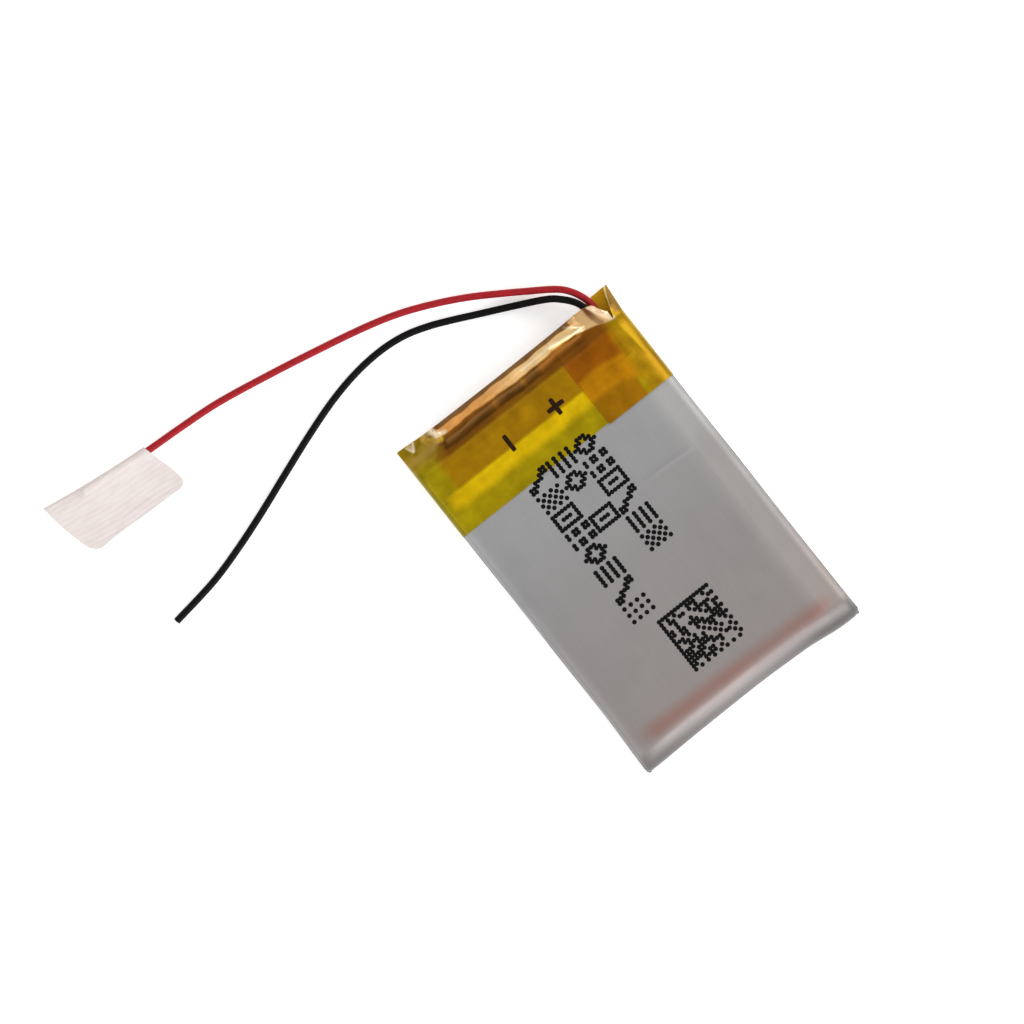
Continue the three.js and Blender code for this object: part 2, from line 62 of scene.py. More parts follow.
# Numbers of a mix node's sockets for colours; its other sockets go by the same names.
SHARE, UNDER, OVER, BLENDED = 0, 6, 7, 2
COLOUR_MIX = {"data_type": "RGBA"}
TIMES = {"operation": "MULTIPLY"}
SIZE_ONLY = {"operation": "ABSOLUTE"}

Point = tuple[float, float, float]
Flat = tuple[float, float]
Face = tuple[int, ...]
Stops = tuple[tuple[float, str], ...]
Layer = tuple[str, np.ndarray]
Rings = list[Flat]
Socket = bpy.types.NodeSocket
Tree = bpy.types.NodeTree
Given = Socket | float | str | tuple[float, ...]


# ---------------------------------------------------------------------------
# Colour and shape helpers
# ---------------------------------------------------------------------------


def linear(colour: str) -> tuple[float, float, float, float]:
    """Turns an sRGB hex colour into a linear one.

    Args:
        colour: six hex digits after a hash sign.

    Returns:
        Linear red, green, blue and an alpha of one.
    """
    parts = [int(colour[i : i + 2], 16) / 255 for i in (1, 3, 5)]
    curve = [p / 12.92 if p <= 0.04045 else ((p + 0.055) / 1.055) ** 2.4 for p in parts]
    return curve[0], curve[1], curve[2], 1.0


def ease(low: float, high: float, value: np.ndarray | float) -> np.ndarray:
    """Rises smoothly from nought at low to one at high.

    Args:
        low: value where the rise starts.
        high: value where it ends; it may be lower than low for a fall.
        value: one number or an array.

    Returns:
        The eased share, from nought to one.
    """
    share = np.clip((np.asarray(value, float) - low) / (high - low), 0.0, 1.0)
    return share * share * (3 - 2 * share)


def bump(value: np.ndarray | float, centre: float, width: float) -> np.ndarray:
    """A soft bell of height one around centre."""
    return np.exp(-(((np.asarray(value, float) - centre) / width) ** 2))


def line_distance(x: np.ndarray, y: np.ndarray, path: list[Flat]) -> np.ndarray:
    """Measures how far points are from a line of straight runs, seen from above.

    Args:
        x: the points' x.
        y: the points' y.
        path: corners of the line.

    Returns:
        The distance of each point from the nearest run.
    """
    best = np.full(np.broadcast(x, y).shape, 1e9)
    for (ax, ay), (bx, by) in zip(path, path[1:]):
        run_x, run_y = bx - ax, by - ay
        along = ((x - ax) * run_x + (y - ay) * run_y) / (run_x**2 + run_y**2)
        along = np.clip(along, 0, 1)
        best = np.minimum(best, np.hypot(x - ax - along * run_x, y - ay - along * run_y))
    return best


def through(path: list[Flat], at: np.ndarray | float) -> np.ndarray:
    """Reads a value from (place, value) corners joined by a smooth line that never overshoots.

    Args:
        path: the corners, in rising order of place.
        at: places to read.

    Returns:
        The values, which stay level beyond the ends.
    """
    spots = np.array([p[0] for p in path], float)
    values = np.array([p[1] for p in path], float)
    width, rise = np.diff(spots), np.diff(values)
    slope = rise / width
    turn = np.zeros(len(spots))
    same = slope[:-1] * slope[1:] > 0
    mean = 2 * slope[:-1] * slope[1:] / np.where(same, slope[:-1] + slope[1:], 1.0)
    turn[1:-1] = np.where(same, mean, 0.0)
    place = np.clip(np.asarray(at, float), spots[0], spots[-1])
    run = np.clip(np.searchsorted(spots, place, side="right") - 1, 0, len(width) - 1)
    t = (place - spots[run]) / width[run]
    bend = turn[run] * width[run] * t * (1 - t) ** 2 - turn[run + 1] * width[run] * t * t * (1 - t)
    return values[run] + rise[run] * t * t * (3 - 2 * t) + bend


def even_steps(corners: list[Flat], spacing: float) -> np.ndarray:
    """Walks along a rounded line of corners in nearly even steps.

    Args:
        corners: the line's corners, as pairs.
        spacing: the length of a step in millimetres.

    Returns:
        The points on the line, one pair a row, with both ends among them.
    """
    line = np.array(corners, float)
    run = np.concatenate([[0], np.cumsum(np.hypot(*np.diff(line, axis=0).T))])
    parts = [
        np.linspace(a, b, max(2, round((b - a) / spacing)) + 1)[:-1]
        for a, b in zip(run, run[1:])
    ]
    spots = np.concatenate([*parts, run[-1:]])
    return np.stack([through(list(zip(run, line[:, axis])), spots) for axis in (0, 1)], -1)


def smooth_route(route: list[Point], per_run: int) -> list[Point]:
    """Runs one smooth line through route points.

    Args:
        route: points in millimetres.
        per_run: how many steps lie between two neighbours.

    Returns:
        The points of the smooth line, which goes through every route point.
    """
    ends = [route[0], *route, route[-1]]
    line: list[Point] = []
    for a, b, c, d in zip(ends, ends[1:], ends[2:], ends[3:]):
        pa, pb, pc, pd = (Vector(p) for p in (a, b, c, d))
        for step in range(per_run):
            t = step / per_run
            spot = 0.5 * (
                2 * pb
                + (pc - pa) * t
                + (2 * pa - 5 * pb + 4 * pc - pd) * t * t
                + (3 * pb - pa - 3 * pc + pd) * t**3
            )
            line.append(tuple(spot))
    line.append(tuple(route[-1]))
    return line


def crest_wander(x: np.ndarray) -> np.ndarray:
    """How far the tape's crest over the board wanders along the cell, at x."""
    return 0.045 * np.sin(0.9 * x + 0.6) + 0.025 * np.sin(2.3 * x + 1.0)


def grid_faces(columns: int, rows: int, start: int = 0) -> list[Face]:
    """Lists the quads of a grid whose points run row by row within each column.

    Args:
        columns: how many columns of points there are.
        rows: how many points each column holds.
        start: number of the grid's first point.

    Returns:
        One tuple of four point numbers for each quad.
    """
    return [
        (
            start + c * rows + r,
            start + (c + 1) * rows + r,
            start + (c + 1) * rows + r + 1,
            start + c * rows + r + 1,
        )
        for c in range(columns - 1)
        for r in range(rows - 1)
    ]


def stack_faces(levels: int, sides: int, first: int = 0) -> list[Face]:
    """Lists the faces of a stack of rings that is closed at both ends.

    Args:
        levels: how many rings there are, lowest first.
        sides: how many points each ring holds.
        first: number of the stack's first point.

    Returns:
        The two ends, then the quads round the sides.
    """
    last = first + (levels - 1) * sides
    faces = [tuple(range(first + sides - 1, first - 1, -1)), tuple(range(last, last + sides))]
    for start in range(first, last, sides):
        for step in range(sides):
            a, b = start + step, start + (step + 1) % sides
            faces.append((a, b, b + sides, a + sides))
    return faces


def place_object(name: str, data: bpy.types.ID) -> bpy.types.Object:
    """Makes an object that holds some data and links it to the scene.

    Args:
        name: the object's name.
        data: a mesh, curve, light or camera.

    Returns:
        The object, at the origin.
    """
    made = bpy.data.objects.new(name, data)
    bpy.context.scene.collection.objects.link(made)
    return made


def make_piece(name: str, points: np.ndarray, faces: list[Face]) -> bpy.types.Object:
    """Makes a mesh object from points in millimetres.

    Args:
        name: the piece's name.
        points: an array of x, y, z rows.
        faces: point numbers of each face.

    Returns:
        The new object, linked to the scene.
    """
    mesh = bpy.data.meshes.new(name)
    mesh.from_pydata((np.asarray(points, float) * MM).tolist(), [], faces)
    mesh.validate()
    shaped = bmesh.new()
    shaped.from_mesh(mesh)
    bmesh.ops.remove_doubles(shaped, verts=shaped.verts, dist=WELD * MM)
    bmesh.ops.dissolve_degenerate(shaped, edges=shaped.edges, dist=WELD * MM)
    shaped.to_mesh(mesh)
    shaped.free()
    return place_object(name, mesh)


def thicken(piece: bpy.types.Object, thickness: float, offset: float = 0.0) -> bpy.types.Object:
    """Gives a sheet its thickness and closes it.

    Args:
        piece: a sheet one face thick.
        thickness: in millimetres.
        offset: nought grows both ways, minus one grows behind the faces.

    Returns:
        The same object, now a closed shell.
    """
    modifier = piece.modifiers.new("thickness", "SOLIDIFY")
    modifier.thickness = thickness * MM
    modifier.offset = offset
    graph = bpy.context.evaluated_depsgraph_get()
    solid = bpy.data.meshes.new_from_object(piece.evaluated_get(graph))
    piece.modifiers.clear()
    sheet = piece.data
    piece.data = solid
    bpy.data.meshes.remove(sheet)
    solid.name = piece.name
    return piece


def smooth(piece: bpy.types.Object, sharp_angle: float = 50.0) -> bpy.types.Object:
    """Shades a piece smoothly, except across edges sharper than an angle in degrees."""
    piece.data.polygons.foreach_set("use_smooth", [True] * len(piece.data.polygons))
    piece.data.set_sharp_from_angle(angle=math.radians(sharp_angle))
    return piece


def join_pieces(name: str, parts: list[bpy.types.Object]) -> bpy.types.Object:
    """Joins closed shells into one piece.

    Args:
        name: the joined piece's name.
        parts: mesh objects at the origin; they are used up.

    Returns:
        One object that holds all the shells.
    """
    whole = bmesh.new()
    for part in parts:
        whole.from_mesh(part.data)
        mesh = part.data
        bpy.data.objects.remove(part)
        bpy.data.meshes.remove(mesh)
    mesh = bpy.data.meshes.new(name)
    whole.to_mesh(mesh)
    whole.free()
    return place_object(name, mesh)


def settle(piece: bpy.types.Object, slot: str, *nodes: str) -> bpy.types.Object:
    """Makes a piece ride on the body and stand for CAD nodes.

    Args:
        piece: the piece.
        slot: not used.
        nodes: CAD nodes that it replaces, if any.

    Returns:
        The same piece.
    """
    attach(piece, BODY)
    if nodes:
        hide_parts(*nodes)
    LOG.info("%s made from %s", piece.name, ", ".join(nodes) or "its own sizes")
    return piece


# ---------------------------------------------------------------------------
# Finishes
# ---------------------------------------------------------------------------


class Kind(Enum):
    """The shader nodes that the finishes are made of."""

    PLACE = "ShaderNodeTexCoord"
    MAPPING = "ShaderNodeMapping"
    AXES = "ShaderNodeSeparateXYZ"
    NOISE = "ShaderNodeTexNoise"
    RAMP = "ShaderNodeValToRGB"
    RANGE = "ShaderNodeMapRange"
    MATHS = "ShaderNodeMath"
    MIX = "ShaderNodeMix"
    RELIEF = "ShaderNodeBump"
    STORED = "ShaderNodeAttribute"


@dataclass(frozen=True)
class Fade:
    """A share that runs from one value to another over a range of a socket's values."""

    source: Socket
    start: float
    end: float
    share: Flat = (0.0, 1.0)
    easing: str = "LINEAR"


def feed(tree: Tree, node: bpy.types.Node, inputs: dict[str | int, Given]) -> None:
    """Fills a node's input sockets.

    Args:
        tree: the node tree.
        node: the node.
        inputs: by socket name or number, an output socket to link, a number or an sRGB hex.
    """
    for name, given in inputs.items():
        if isinstance(given, Socket):
            tree.links.new(given, node.inputs[name])
        else:
            node.inputs[name].default_value = linear(given) if isinstance(given, str) else given


def add_node(
    tree: Tree,
    kind: Kind,
    inputs: dict[str | int, Given],
    settings: dict[str, str] | None = None,
    stops: Stops = (),
) -> bpy.types.Node:
    """Adds a node with its settings and links.

    Args:
        tree: the node tree.
        kind: what the node does.
        inputs: what its input sockets hold or are linked to.
        settings: its properties by name.
        stops: place and sRGB hex colour of each stop, where it holds a colour ramp.

    Returns:
        The new node.
    """
    node = tree.nodes.new(kind.value)
    for name, value in (settings or {}).items():
        setattr(node, name, value)
    for number, (spot, colour) in enumerate(stops):
        elements = node.color_ramp.elements
        element = elements[number] if number < len(elements) else elements.new(spot)
        element.position = spot
        element.color = linear(colour)
    feed(tree, node, inputs)
    return node


def new_material(name: str) -> tuple[bpy.types.Material, Tree, bpy.types.Node]:
    """Starts a material with a Principled shader on its output.

    Args:
        name: the material's name.

    Returns:
        The material, its node tree and its Principled node.
    """
    material = bpy.data.materials.new(name)
    material.use_nodes = True
    tree = material.node_tree
    shader = next(n for n in tree.nodes if n.type == "BSDF_PRINCIPLED")
    return material, tree, shader


def spot_in_mm(tree: Tree, stretch: Point = (1, 1, 1), turn: float = 0.0) -> Socket:
    """Reads the piece's own coordinates in millimetres.

    Args:
        tree: the node tree.
        stretch: how many times finer a pattern on them is along each axis.
        turn: the pattern's turn about the upright axis in radians.

    Returns:
        The socket of the coordinates.
    """
    place = add_node(tree, Kind.PLACE, {}).outputs["Object"]
    scale = tuple(s / MM for s in stretch)
    mapped = {"Vector": place, "Rotation": (0, 0, turn), "Scale": scale}
    return add_node(tree, Kind.MAPPING, mapped).outputs["Vector"]


def grain(
    tree: Tree,
    spacing: float,
    detail: float = 3.0,
    stretch: Point = (1, 1, 1),
    turn: float = 0.0,
) -> Socket:
    """Makes a random grain of a real size on a piece.

    Args:
        tree: the node tree.
        spacing: distance between its lumps in millimetres.
        detail: how many finer octaves it holds.
        stretch: how many times finer it is along each axis.
        turn: its turn about the upright axis in radians.

    Returns:
        The socket of its height, most of which lies between GRAIN_LOW and GRAIN_HIGH.
    """
    spot = spot_in_mm(tree, stretch, turn)
    noise = {"Vector": spot, "Scale": 1 / spacing, "Detail": detail, "Roughness": 0.55}
    return add_node(tree, Kind.NOISE, noise).outputs["Fac"]


def cover(tree: Tree, under: Socket, over: str, *fades: Fade) -> Socket:
    """Lays a colour over another where all its fades let it show.

    Args:
        tree: the node tree.
        under: the socket of the lower colour.
        over: sRGB hex of the upper colour.
        fades: their shares are multiplied.

    Returns:
        The socket of the blended colour.
    """
    shown = None
    for fade in fades:
        span = {"Value": fade.source, "From Min": fade.start, "From Max": fade.end}
        span |= {"To Min": fade.share[0], "To Max": fade.share[1]}
        part = add_node(tree, Kind.RANGE, span, {"interpolation_type": fade.easing}).outputs[0]
        if shown:
            part = add_node(tree, Kind.MATHS, {0: shown, 1: part}, TIMES).outputs[0]
        shown = part
    blend = add_node(tree, Kind.MIX, {SHARE: shown, UNDER: under, OVER: over}, COLOUR_MIX)
    return blend.outputs[BLENDED]


def tinge(tree: Tree, colour: Socket, height: Socket, low: str, high: str) -> Socket:
    """Multiplies a colour by a faint one that follows a grain.

    Args:
        tree: the node tree.
        colour: the socket of the colour.
        height: the socket of the grain.
        low: sRGB hex in the grain's hollows.
        high: sRGB hex on its lumps.

    Returns:
        The socket of the tinged colour.
    """
    stops = ((GRAIN_LOW, low), (GRAIN_HIGH, high))
    faint = add_node(tree, Kind.RAMP, {"Fac": height}, stops=stops).outputs["Color"]
    mixed = {SHARE: 1.0, UNDER: colour, OVER: faint}
    blend = add_node(tree, Kind.MIX, mixed, COLOUR_MIX | {"blend_type": "MULTIPLY"})
    return blend.outputs[BLENDED]


def surface(
    tree: Tree,
    shader: bpy.types.Node,
    colour: Socket,
    gloss: tuple[Socket, Flat],
    relief: tuple[Socket, float, float],
) -> None:
    """Gives a shader its colour, a roughness that varies and a fine relief.

    Args:
        tree: the node tree.
        shader: the Principled node.
        colour: the socket of its colour.
        gloss: the grain that the roughness follows, and its roughness low and high.
        relief: the grain that stands up, its depth in millimetres and its strength.
    """
    follows, (low, high) = gloss
    height, depth, strength = relief
    span = {"Value": follows, "From Min": GRAIN_LOW, "From Max": GRAIN_HIGH}
    span |= {"To Min": low, "To Max": high}
    rough = add_node(tree, Kind.RANGE, span).outputs["Result"]
    raised = {"Height": height, "Distance": depth * MM, "Strength": strength}
    normal = add_node(tree, Kind.RELIEF, raised).outputs["Normal"]
    feed(tree, shader, {"Base Color": colour, "Roughness": rough, "Normal": normal})


@dataclass(frozen=True)
class GrainedFinish:
    """A finish of one material whose colour and gloss vary with a fine grain."""

    name: str
    dark: str
    light: str
    spacing: float
    roughness: Flat
    metallic: float = 0.0
    ior: float = 1.5
    depth: float = 0.01
    strength: float = 0.5
    stretch: Point = (1, 1, 1)

    def make(self) -> bpy.types.Material:
        """Builds the material.

        Returns:
            The material, with the grain in its colour, gloss and relief.
        """
        material, tree, shader = new_material(self.name)
        height = grain(tree, self.spacing, stretch=self.stretch)
        stops = ((GRAIN_LOW, self.dark), (GRAIN_HIGH, self.light))
        colour = add_node(tree, Kind.RAMP, {"Fac": height}, stops=stops).outputs["Color"]
        relief = (height, self.depth, self.strength)
        surface(tree, shader, colour, (height, self.roughness), relief)
        feed(tree, shader, {"Metallic": self.metallic, "IOR": self.ior})
        return material


@dataclass(frozen=True)
class LaminateFinish:
    """Cold-drawn aluminium laminate, nylon side out.

    The rolled foil under the nylon gives a soft grey metal sheen with faint rolling lines
    along the cell; the thin nylon scatters it, so no mirror image forms.
    """

    name: str = "aluminium_laminate_cold_drawn"
    foot_to_tape: Stops = ((0.0, "#8F8783"), (0.5, "#908D8B"), (1.0, "#9B9B9A"))
    # Painted warm reflection on the roll over the foot.
    roll_reflection: str = "#8F6050"
    smudge: str = "#7D7A78"
    fold_shade: str = "#5A5552"
    roughness: Flat = (0.40, 0.48)
    metallic: float = 0.35
    ior: float = 1.53
    tape_end: float = 9.0
    foot_end: float = -12.0
    reflection_middle: float = -12.98
    reflection_slant: float = 0.03
    reflection_reach: float = 1.15
    reflection_depth: float = 0.66
    smudge_size: float = 5.0
    line_gap: float = 0.12
    line_depth: float = 0.002

    def make(self) -> bpy.types.Material:
        """Builds the material.

        Returns:
            The material of both pouch films.
        """
        material, tree, shader = new_material(self.name)
        apart = add_node(tree, Kind.AXES, {"Vector": spot_in_mm(tree)})
        x, y, z = (apart.outputs[axis] for axis in "XYZ")
        # The face is painted warmer and darker at the foot and lighter grey towards the tape; the
        # warm tint is a painted reflection.
        span = {"Value": y, "From Min": self.foot_end, "From Max": self.tape_end}
        along = add_node(tree, Kind.RANGE, span).outputs["Result"]
        colour = add_node(tree, Kind.RAMP, {"Fac": along}, stops=self.foot_to_tape).outputs["Color"]
        aside = add_node(tree, Kind.MATHS, {0: x}, SIZE_ONLY).outputs[0]
        # A warm reflection is painted onto the roll over the foot, in a soft, slightly slanting
        # band.
        slanted = {0: x, 1: self.reflection_slant, 2: y}
        slant = add_node(tree, Kind.MATHS, slanted, {"operation": "MULTIPLY_ADD"}).outputs[0]
        moved = {0: slant, 1: self.reflection_middle}
        away = add_node(tree, Kind.MATHS, moved, {"operation": "SUBTRACT"}).outputs[0]
        gap = add_node(tree, Kind.MATHS, {0: away}, SIZE_ONLY).outputs[0]
        band = Fade(gap, 0.0, self.reflection_reach, (self.reflection_depth, 0.0), "SMOOTHSTEP")
        inward = Fade(aside, 7.6, 9.3, (1.0, 0.0))
        on_face = Fade(z, 1.6, 2.4)
        colour = cover(tree, colour, self.roll_reflection, band, inward, on_face)
        # Painted shade darkens the film along its fold at the foot.
        colour = cover(tree, colour, self.fold_shade, Fade(y, -14.9, -14.2, (1.0, 0.0)))
        # Towards the corners, painted shade dulls the turned film all the way up the roll.
        outward = Fade(aside, 2.0, 8.0, (0.0, 0.5))
        turned = Fade(y, -14.1, -13.5, (1.0, 0.0))
        colour = cover(tree, colour, self.fold_shade, outward, turned)
        # Handling leaves faint cloudy smudges a few millimetres across.
        clouds = grain(tree, self.smudge_size, 2.0)
        colour = cover(tree, colour, self.smudge, Fade(clouds, 0.5, 0.75, (0.0, 0.35)))
        # Rolling lines lie side by side across the cell and run long along it.
        lines = grain(tree, self.line_gap, 2.0, (1, 0.04, 1))
        colour = tinge(tree, colour, lines, "#FAFAFA", "#FFFFFF")
        surface(tree, shader, colour, (clouds, self.roughness), (lines, self.line_depth, 0.3))
        feed(tree, shader, {"Metallic": self.metallic, "IOR": self.ior})
        return material


@dataclass(frozen=True)
class AmberFilmFinish:
    """Cast polyimide tape film on a silicone adhesive.

    The film is clear amber, so each ply deepens the colour of what lies under it; the mesh
    carries that depth, with painted highlights, painted light and painted shade, as the attribute
    FILM_TINT. The cast surface is glossy.
    """

    name: str = "polyimide_film_cast"
    roughness: Flat = (0.27, 0.4)
    metallic: float = 0.42
    ior: float = 1.55
    specular: float = 0.12
    patch_size: float = 1.6
    wrinkle_size: float = 0.7
    wrinkle_depth: float = 0.03

    def make(self) -> bpy.types.Material:
        """Builds the material.

        Returns:
            The material of both amber tapes.
        """
        material, tree, shader = new_material(self.name)
        depth = add_node(tree, Kind.STORED, {}, {"attribute_name": FILM_TINT}).outputs["Color"]
        # Adhesive that wets the film unevenly leaves lighter and darker patches.
        patches = grain(tree, self.patch_size, 4.0)
        colour = tinge(tree, depth, patches, "#DAD6C8", "#FFFFFF")
        wrinkles = grain(tree, self.wrinkle_size, 3.0, (1, 0.45, 1))
        relief = (wrinkles, self.wrinkle_depth, 0.35)
        surface(tree, shader, colour, (patches, self.roughness), relief)
        feed(tree, shader, {"Metallic": self.metallic, "IOR": self.ior})
        # The gloss comes back mostly from the bright film below, so the clear face adds little.
        feed(tree, shader, {"Specular IOR Level": self.specular})
        return material


@dataclass(frozen=True)
class CrepePaperFinish:
    """Creped masking paper, folded on itself.

    Crepe ridges about 0.35 mm apart run across the strip and scatter the light, which gives
    an even matt white with a faint pink warmth in the hollows.
    """

    name: str = "masking_paper_creped"
    hollow_to_ridge: Stops = ((0.32, "#D3C7C1"), (0.62, "#DBD1CC"))
    roughness: Flat = (0.75, 0.95)
    spacing: float = 0.35
    depth: float = 0.03
    angle: float = math.radians(-6.5)
    glow: float = 0.08
    glow_reach: Point = (0.4, 0.3, 0.3)

    def make(self) -> bpy.types.Material:
        """Builds the material.

        Returns:
            The material of the lead's paper flag.
        """
        material, tree, shader = new_material(self.name)
        crepe = grain(tree, self.spacing, 4.0, (0.22, 1, 1), self.angle)
        stops = self.hollow_to_ridge
        colour = add_node(tree, Kind.RAMP, {"Fac": crepe}, stops=stops).outputs["Color"]
        surface(tree, shader, colour, (crepe, self.roughness), (crepe, self.depth, 0.25))
        reach = tuple(r * MM for r in self.glow_reach)
        feed(tree, shader, {"Subsurface Weight": self.glow, "Subsurface Radius": reach})
        return material


def paint(piece: bpy.types.Object, material: bpy.types.Material) -> None:
    """Puts one material on every slot of an object.

    Args:
        piece: the object, a CAD node or a new piece.
        material: the finish.
    """
    if not piece.material_slots:
        piece.data.materials.append(material)
    for slot in piece.material_slots:
        slot.material = material


# ---------------------------------------------------------------------------
# Camera, floor and light
# ---------------------------------------------------------------------------


@dataclass
class Studio:
    """The camera, the pale floor and the soft lights."""

    middle: Flat = (-5.94, 6.74)
    face_level: float = 3.2
    frame_width: float = 76.8
    turn: float = 38.3
    lens: float = 400.0
    sensor: float = 36.0
    clip: Flat = (0.005, 20.0)
    floor_half: float = 3000.0
    floor_sink: float = 0.01
    floor_glow: float = 0.42
    room_light: float = 0.58
    light_distance: float = 700.0

    def add_camera(self) -> bpy.types.Object:
        """Stands the camera straight above the cell.

        Returns:
            The camera.
        """
        optics = bpy.data.cameras.new("camera")
        optics.lens = self.lens
        optics.sensor_width = self.sensor
        optics.clip_start, optics.clip_end = self.clip
        camera = place_object("camera", optics)
        height = self.face_level + self.frame_width * self.lens / self.sensor
        turned = Matrix.Rotation(math.radians(-self.turn), 4, "Z")
        spot = Matrix.Translation(Vector((*self.middle, height)) * MM)
        camera.matrix_world = spot @ turned
        bpy.context.scene.camera = camera
        return camera

    def add_floor(self) -> bpy.types.Object:
        """Lays the floor as a wide shallow dish whose rim is far away.

        Returns:
            The floor.
        """
        rings, steps = 12, 48
        points = [(0.0, 0.0, -self.floor_sink)]
        for ring in range(1, rings + 1):
            radius = self.floor_half * (ring / rings) ** 2
            for step in range(steps):
                turn = 2 * math.pi * step / steps
                points.append((radius * math.cos(turn), radius * math.sin(turn), -self.floor_sink))
        faces = [(0, 1 + s, 1 + (s + 1) % steps) for s in range(steps)]
        for ring in range(rings - 1):
            inner, outer = 1 + ring * steps, 1 + (ring + 1) * steps
            for s in range(steps):
                after = (s + 1) % steps
                faces.append((inner + s, outer + s, outer + after, inner + after))
        floor = make_piece("floor", np.array(points), faces)
        material, tree, shader = new_material("matt_white_board")
        stops = ((GRAIN_LOW, "#F4F4F3"), (GRAIN_HIGH, "#F8F8F7"))
        colour = add_node(tree, Kind.RAMP, {"Fac": grain(tree, 0.5)}, stops=stops)
        feed(tree, shader, {"Base Color": colour.outputs["Color"], "Roughness": 0.9})
        feed(tree, shader, {"Specular IOR Level": 0.1})
        feed(tree, shader, {"Emission Color": "#FFFFFF", "Emission Strength": self.floor_glow})
        paint(floor, material)
        return floor

    def add_softbox(self, name: str, aim: Point, size: Flat, watts: float, colour: str) -> None:
        """Hangs a soft light that faces the cell.

        Args:
            name: the light's name.
            aim: direction from the cell to the light.
            size: width and height in millimetres.
            watts: its power.
            colour: sRGB hex.
        """
        light = bpy.data.lights.new(name, "AREA")
        light.shape = "RECTANGLE"
        light.size, light.size_y = size[0] * MM, size[1] * MM
        light.energy = watts
        light.color = linear(colour)[:3]
        lamp = place_object(name, light)
        way = Vector(aim).normalized()
        lamp.location = way * self.light_distance * MM
        lamp.rotation_euler = way.to_track_quat("Z", "Y").to_euler()

    def add_lights(self) -> None:
        """Sets the pale surroundings and the softboxes."""
        world = bpy.data.worlds.new("pale_room")
        world.use_nodes = True
        surroundings = next(n for n in world.node_tree.nodes if n.type == "BACKGROUND")
        glow = {"Color": "#F7F8FA", "Strength": self.room_light}
        feed(world.node_tree, surroundings, glow)
        bpy.context.scene.world = world
        self.add_softbox("foot_side", (0.25, -1.0, 0.75), (700, 380), 4.0, "#F6F9FF")
        self.add_softbox("right_side", (1.0, 0.1, 0.55), (500, 300), 2.2, "#FFF9F2")
        self.add_softbox("left_side", (-1.0, -0.1, 0.6), (500, 300), 0.9, "#F7FAFF")
        self.add_softbox("lead_side", (-0.2, 1.0, 0.9), (600, 300), 0.35, "#FFFFFF")
        bpy.context.scene.view_settings.view_transform = "Standard"
        bpy.context.scene.view_settings.look = "None"


# ---------------------------------------------------------------------------
# Leads and the paper flag
# ---------------------------------------------------------------------------


@dataclass
class Lead:
    """One thin wire in its sleeve, from the board to its loose end."""

    name: str
    node: str
    slot: str
    finish: GrainedFinish
    route: list[Point]
    mouth: Point
    diameter: float = 0.55
    steps_per_run: int = 6

    def line(self) -> list[Point]:
        """The lead's smooth centreline in millimetres."""
        return smooth_route(self.route, self.steps_per_run)

    def build(self) -> bpy.types.Object:
        """Makes the sleeve as a round curve.

        Returns:
            The lead.
        """
        curve = bpy.data.curves.new(self.name, "CURVE")
        curve.dimensions = "3D"
        curve.bevel_depth = self.diameter / 2 * MM
        curve.bevel_resolution = 5
        curve.use_fill_caps = True
        spline = curve.splines.new("POLY")
        line = self.line()
        spline.points.add(len(line) - 1)
        for point, spot in zip(spline.points, line):
            point.co = (*(c * MM for c in spot), 1.0)
        lead = place_object(self.name, curve)
        curve.materials.append(self.finish.make())
        return settle(lead, self.slot, self.node)


@dataclass
class CutEnd:
    """The seven tinned strands in the black lead's square-cut end."""

    end: Point
    before: Point
    strand_radius: float = 0.045
    ring_radius: float = 0.095
    sunk: float = 0.25
    proud: float = 0.05
    sides: int = 10

    def build(self, finish: GrainedFinish) -> bpy.types.Object:
        """Makes the strands as slim domed rods.

        Args:
            finish: the strands' finish.

        Returns:
            The strands.
        """
        tip = Vector(self.end)
        way = (tip - Vector(self.before)).normalized()
        side = way.cross(Vector((0, 0, 1))).normalized()
        up = side.cross(way).normalized()
        centres = [Vector((0, 0))]
        for strand in range(6):
            turn = math.pi / 3 * strand
            centres.append(Vector((math.cos(turn), math.sin(turn))) * self.ring_radius)
        points: list[Vector] = []
        faces: list[Face] = []
        rings = [(-self.sunk, 1.0), (self.proud * 0.5, 1.0), (self.proud * 0.9, 0.7)]
        for centre in centres:
            faces += stack_faces(len(rings), self.sides, len(points))
            for along, share in rings:
                for step in range(self.sides):
                    turn = 2 * math.pi * step / self.sides
                    across = centre.x + self.strand_radius * share * math.cos(turn)
                    above = centre.y + self.strand_radius * share * math.sin(turn)
                    points.append(tip + way * along + side * across + up * above)
        strands = make_piece("black_lead_cut_strands", np.array([tuple(p) for p in points]), faces)
        paint(smooth(strands), finish.make())
        return settle(strands, "tinned_copper")


